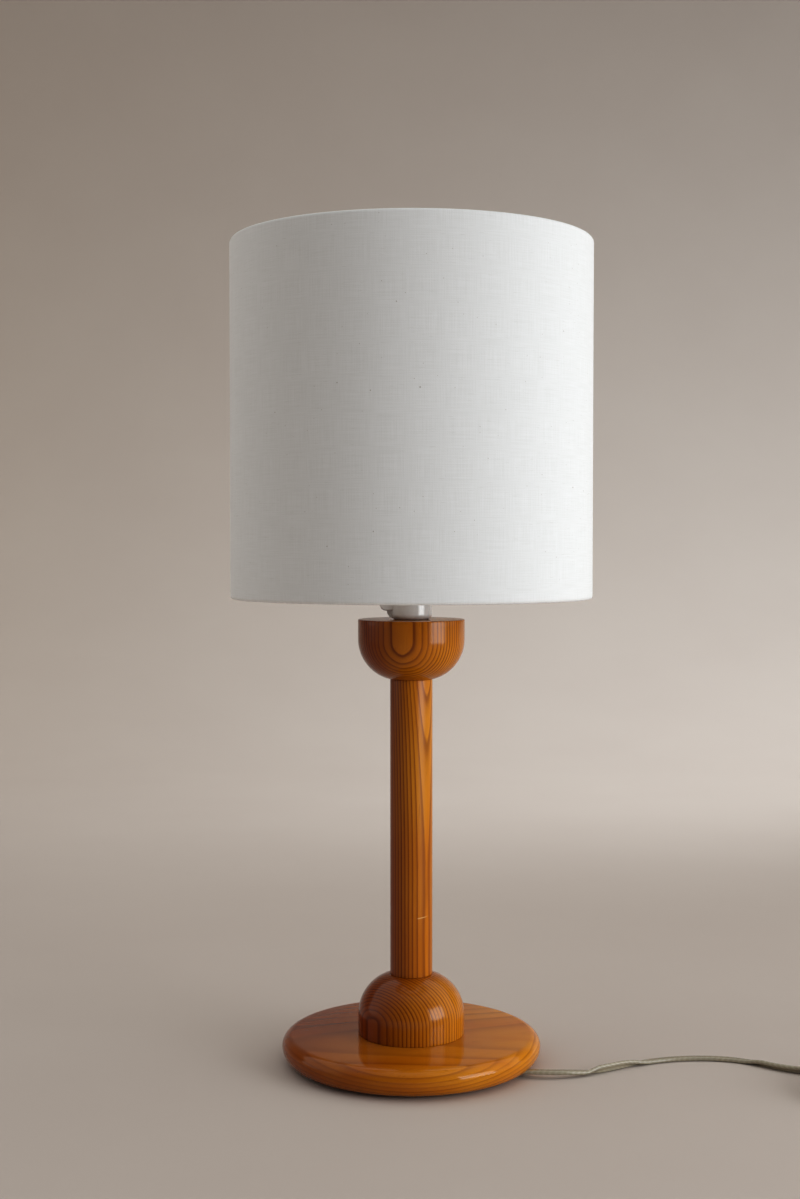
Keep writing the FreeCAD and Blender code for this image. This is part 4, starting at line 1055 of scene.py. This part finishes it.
small_finishes = {
    "zinc": ((176, 178, 174), (150, 152, 150), METAL, 0.5, 0.00003, (0.24, 0.5)),
    "brass": ((196, 158, 84), (176, 136, 66), METAL, 0.5, 0.0, (0.2, 0.42)),
    "nickel": ((206, 202, 194), (188, 184, 176), METAL, 0.4, 0.0, (0.14, 0.3)),
    "bulb_cap_tin": ((196, 198, 198), (176, 178, 180), METAL, 0.4, 0.00002, (0.25, 0.45)),
    "lead_wire": ((150, 148, 142), (120, 118, 114), METAL, 1.0, 0.0, (0.3, 0.5)),
    "holder_white": ((244, 246, 248), (238, 241, 243), MOULDED, 0.08, 0.00004, (0.12, 0.2)),
    "plug_white": ((222, 222, 216), (212, 212, 204), {}, 0.12, 0.00005, (0.28, 0.4)),
    "tie_white": ((214, 214, 208), (198, 198, 190), {}, 0.6, 0.00006, (0.5, 0.7)),
    "brown_phenolic": ((66, 38, 22), (48, 26, 16), {}, 0.9, 0.00004, (0.3, 0.5)),
    "core_insulation": ((70, 96, 150), (58, 82, 132), {}, 0.3, 0.0, (0.35, 0.5)),
    "powder_coat": ((226, 226, 222), (214, 214, 208), {}, 1.4, 0.00005, (0.3, 0.45)),
    "dark_felt": ((44, 40, 36), (70, 64, 58), {"Roughness": 1.0, "Sheen Weight": 0.3}, 1.6, 0.0003, None),
}
wearers = {
    "zinc": ["threaded_rod", "lower_washer", "lower_nut", "lock_washer", "upper_washer", "upper_nut",
             "clamp_screws", "holder_lock_screw", "rocker_pin"],
    "brass": ["screw_shell", "centre_contact", "switch_seesaw", "switch_post", "terminal_screws"],
    "nickel": ["plug_pins"],
    "bulb_cap_tin": ["bulb_cap"],
    "lead_wire": ["bulb_leads", "bulb_filament"],
    "holder_white": [cup, sleeve, rocker, clamp_ring, "flex_clamp"],
    "plug_white": [plug, "plug_pin_sleeves"],
    "tie_white": [tie],
    "brown_phenolic": ["holder_core"],
    "core_insulation": ["core_wires"],
    "powder_coat": ["shade_upper_wire", "shade_lower_wire", "shade_arms", "shade_carrier_ring"],
    "dark_felt": [felt],
}
for name, look in small_finishes.items():
    dress(plain(name, *look), *wearers[name])
    print(name, "on", len(wearers[name]))

# %% [markdown]
# Two finishes are simpler. The film behind the cotton is stiff and a little warmer than it. The bulb is
# clear glass, so it has no pattern, and its look is all in how it bends light.

# %% Film and glass
film = Finish("shade_film", {"Roughness": 0.4, "Specular IOR Level": 0.4})
clouds = noise(stretched(place_in_mm(film), 0.02, 0.02, 0.02))
film.feed("Base Color", mixed(clouds, screen(232, 228, 218), screen(240, 237, 230)))
dress(film, lining)
see_through = {"Roughness": 0.02, "Transmission Weight": 1.0, "IOR": 1.48, "Base Color": grey(0.97)}
glass = Finish("clear_glass", see_through)
dress(glass, "bulb_glass", "bulb_stem")
print("every piece has its finish")

# %% [markdown]
# The lamp stands on a sheet of plain pale paper that runs back and curves up into the backdrop. A plane is
# scaled, its back edge is extruded upwards, and the fold is bevelled wide, so that no line shows between
# floor and wall. The wall stands well back, so that the lamp can also be looked at from behind. Unlike the
# lamp, the paper and the lights are given in metres.

# %% Paper sweep
paper_middle, paper_width, paper_length = -1.1, 16.0, 8.0
wall_height, fold_radius = 3.0, 1.5
bpy.ops.object.select_all(action="DESELECT")
bpy.ops.mesh.primitive_plane_add(size=1, location=(0, paper_middle, 0))
floor = bpy.context.object
floor.name = "paper_sweep"
bpy.ops.object.mode_set(mode="EDIT")
bpy.ops.mesh.select_all(action="SELECT")
bpy.ops.transform.resize(value=(paper_width, paper_length, 1.0))
near_wall = 2800                                        # mm, a little in front of the paper's back edge
pick(floor, "edges", lambda ends: all(e.y > near_wall for e in ends))
bpy.ops.mesh.extrude_region_move(TRANSFORM_OT_translate={"value": (0, 0, wall_height)})
pick(floor, "edges", lambda ends: all(e.y > near_wall and e.z < 1 for e in ends))
bpy.ops.mesh.bevel(offset=fold_radius, segments=32, affect="EDGES")
settle(floor)
bpy.ops.object.shade_smooth()
paper = Finish("grey_paper", {"Roughness": 0.9})
clouds = noise(stretched(place_in_mm(paper), 0.004, 0.004, 0.004), 3.0)
paper.feed("Base Color", mixed(clouds, screen(202, 192, 185), screen(207, 198, 191)))
dress(paper, floor)
print("floor", [round(d, 2) for d in floor.dimensions])

# %% [markdown]
# The light is daylight from a window at the right, a little in front of the lamp. It shades the drum softly
# from light to grey and puts small highlights on the lacquer. The room itself is the world's soft warm
# light, bright at the sides and dim behind the camera, which keeps the lacquer's colour deep. Behind the
# lamp, one light on either side brightens the lower part of the backdrop, more at the right than at the
# left, so that it darkens towards the top. A fourth one hangs above the floor there.

# %% Window and backdrop lights
def soft_light(name, place, target, size, power, colour, spread):
    """Rectangle of light with its strength in watts. A small spread keeps it on its target."""
    light = bpy.data.lights.new(name, "AREA")
    light.shape = "RECTANGLE"
    light.size, light.size_y = size
    light.energy = power
    light.color = colour
    light.spread = math.radians(spread)
    lamp = bpy.data.objects.new(name, light)
    bpy.context.collection.objects.link(lamp)
    lamp.location = place
    lamp.visible_camera = False
    lamp.rotation_euler = (Vector(target) - Vector(place)).to_track_quat("-Z", "Y").to_euler()
    print(name, power, "W")


soft_light("window", (1.5, -0.9, 0.48), (0.1, 0.2, 0.3), (1.1, 0.9), 7.2, (0.91, 0.96, 1.0), 110)
soft_light("backdrop_right", (2.4, 1.2, 0.6), (0.7, 2.8, 0.4), (1.6, 1.2), 15.0, (0.87, 0.95, 1.0), 130)
soft_light("backdrop_left", (-2.2, 1.2, 0.6), (-0.6, 2.8, 0.35), (1.6, 1.2), 3.0, (1.0, 0.75, 0.4), 130)
soft_light("floor_behind", (0.6, 0.9, 1.0), (0.25, 2.0, 0.0), (1.2, 0.8), 4.4, (0.86, 0.94, 1.0), 120)

# %% Light of the room
room_dim, room_bright = 0.12, 1.05
world = bpy.data.worlds.new("room_air")
bpy.context.scene.world = world
world.use_nodes = True
air = world.node_tree
direction = air.nodes.new("ShaderNodeTexCoord")
parts = air.nodes.new("ShaderNodeSeparateXYZ")
brightness = air.nodes.new("ShaderNodeMapRange")
brightness.interpolation_type = "SMOOTHSTEP"
for socket, value in {"From Min": -0.95, "From Max": 0.1, "To Min": room_dim, "To Max": room_bright}.items():
    brightness.inputs[socket].default_value = value
air.links.new(direction.outputs["Generated"], parts.inputs[0])
air.links.new(parts.outputs["Y"], brightness.inputs["Value"])
air.links.new(brightness.outputs[0], air.nodes["Background"].inputs["Strength"])
air.nodes["Background"].inputs["Color"].default_value = (1.0, 0.985, 0.95, 1)
print("room light from", room_dim, "behind the camera to", room_bright)

# %% [markdown]
# The flex and the shade's cloth are soft.

print("the flex and the shade cloth are soft")
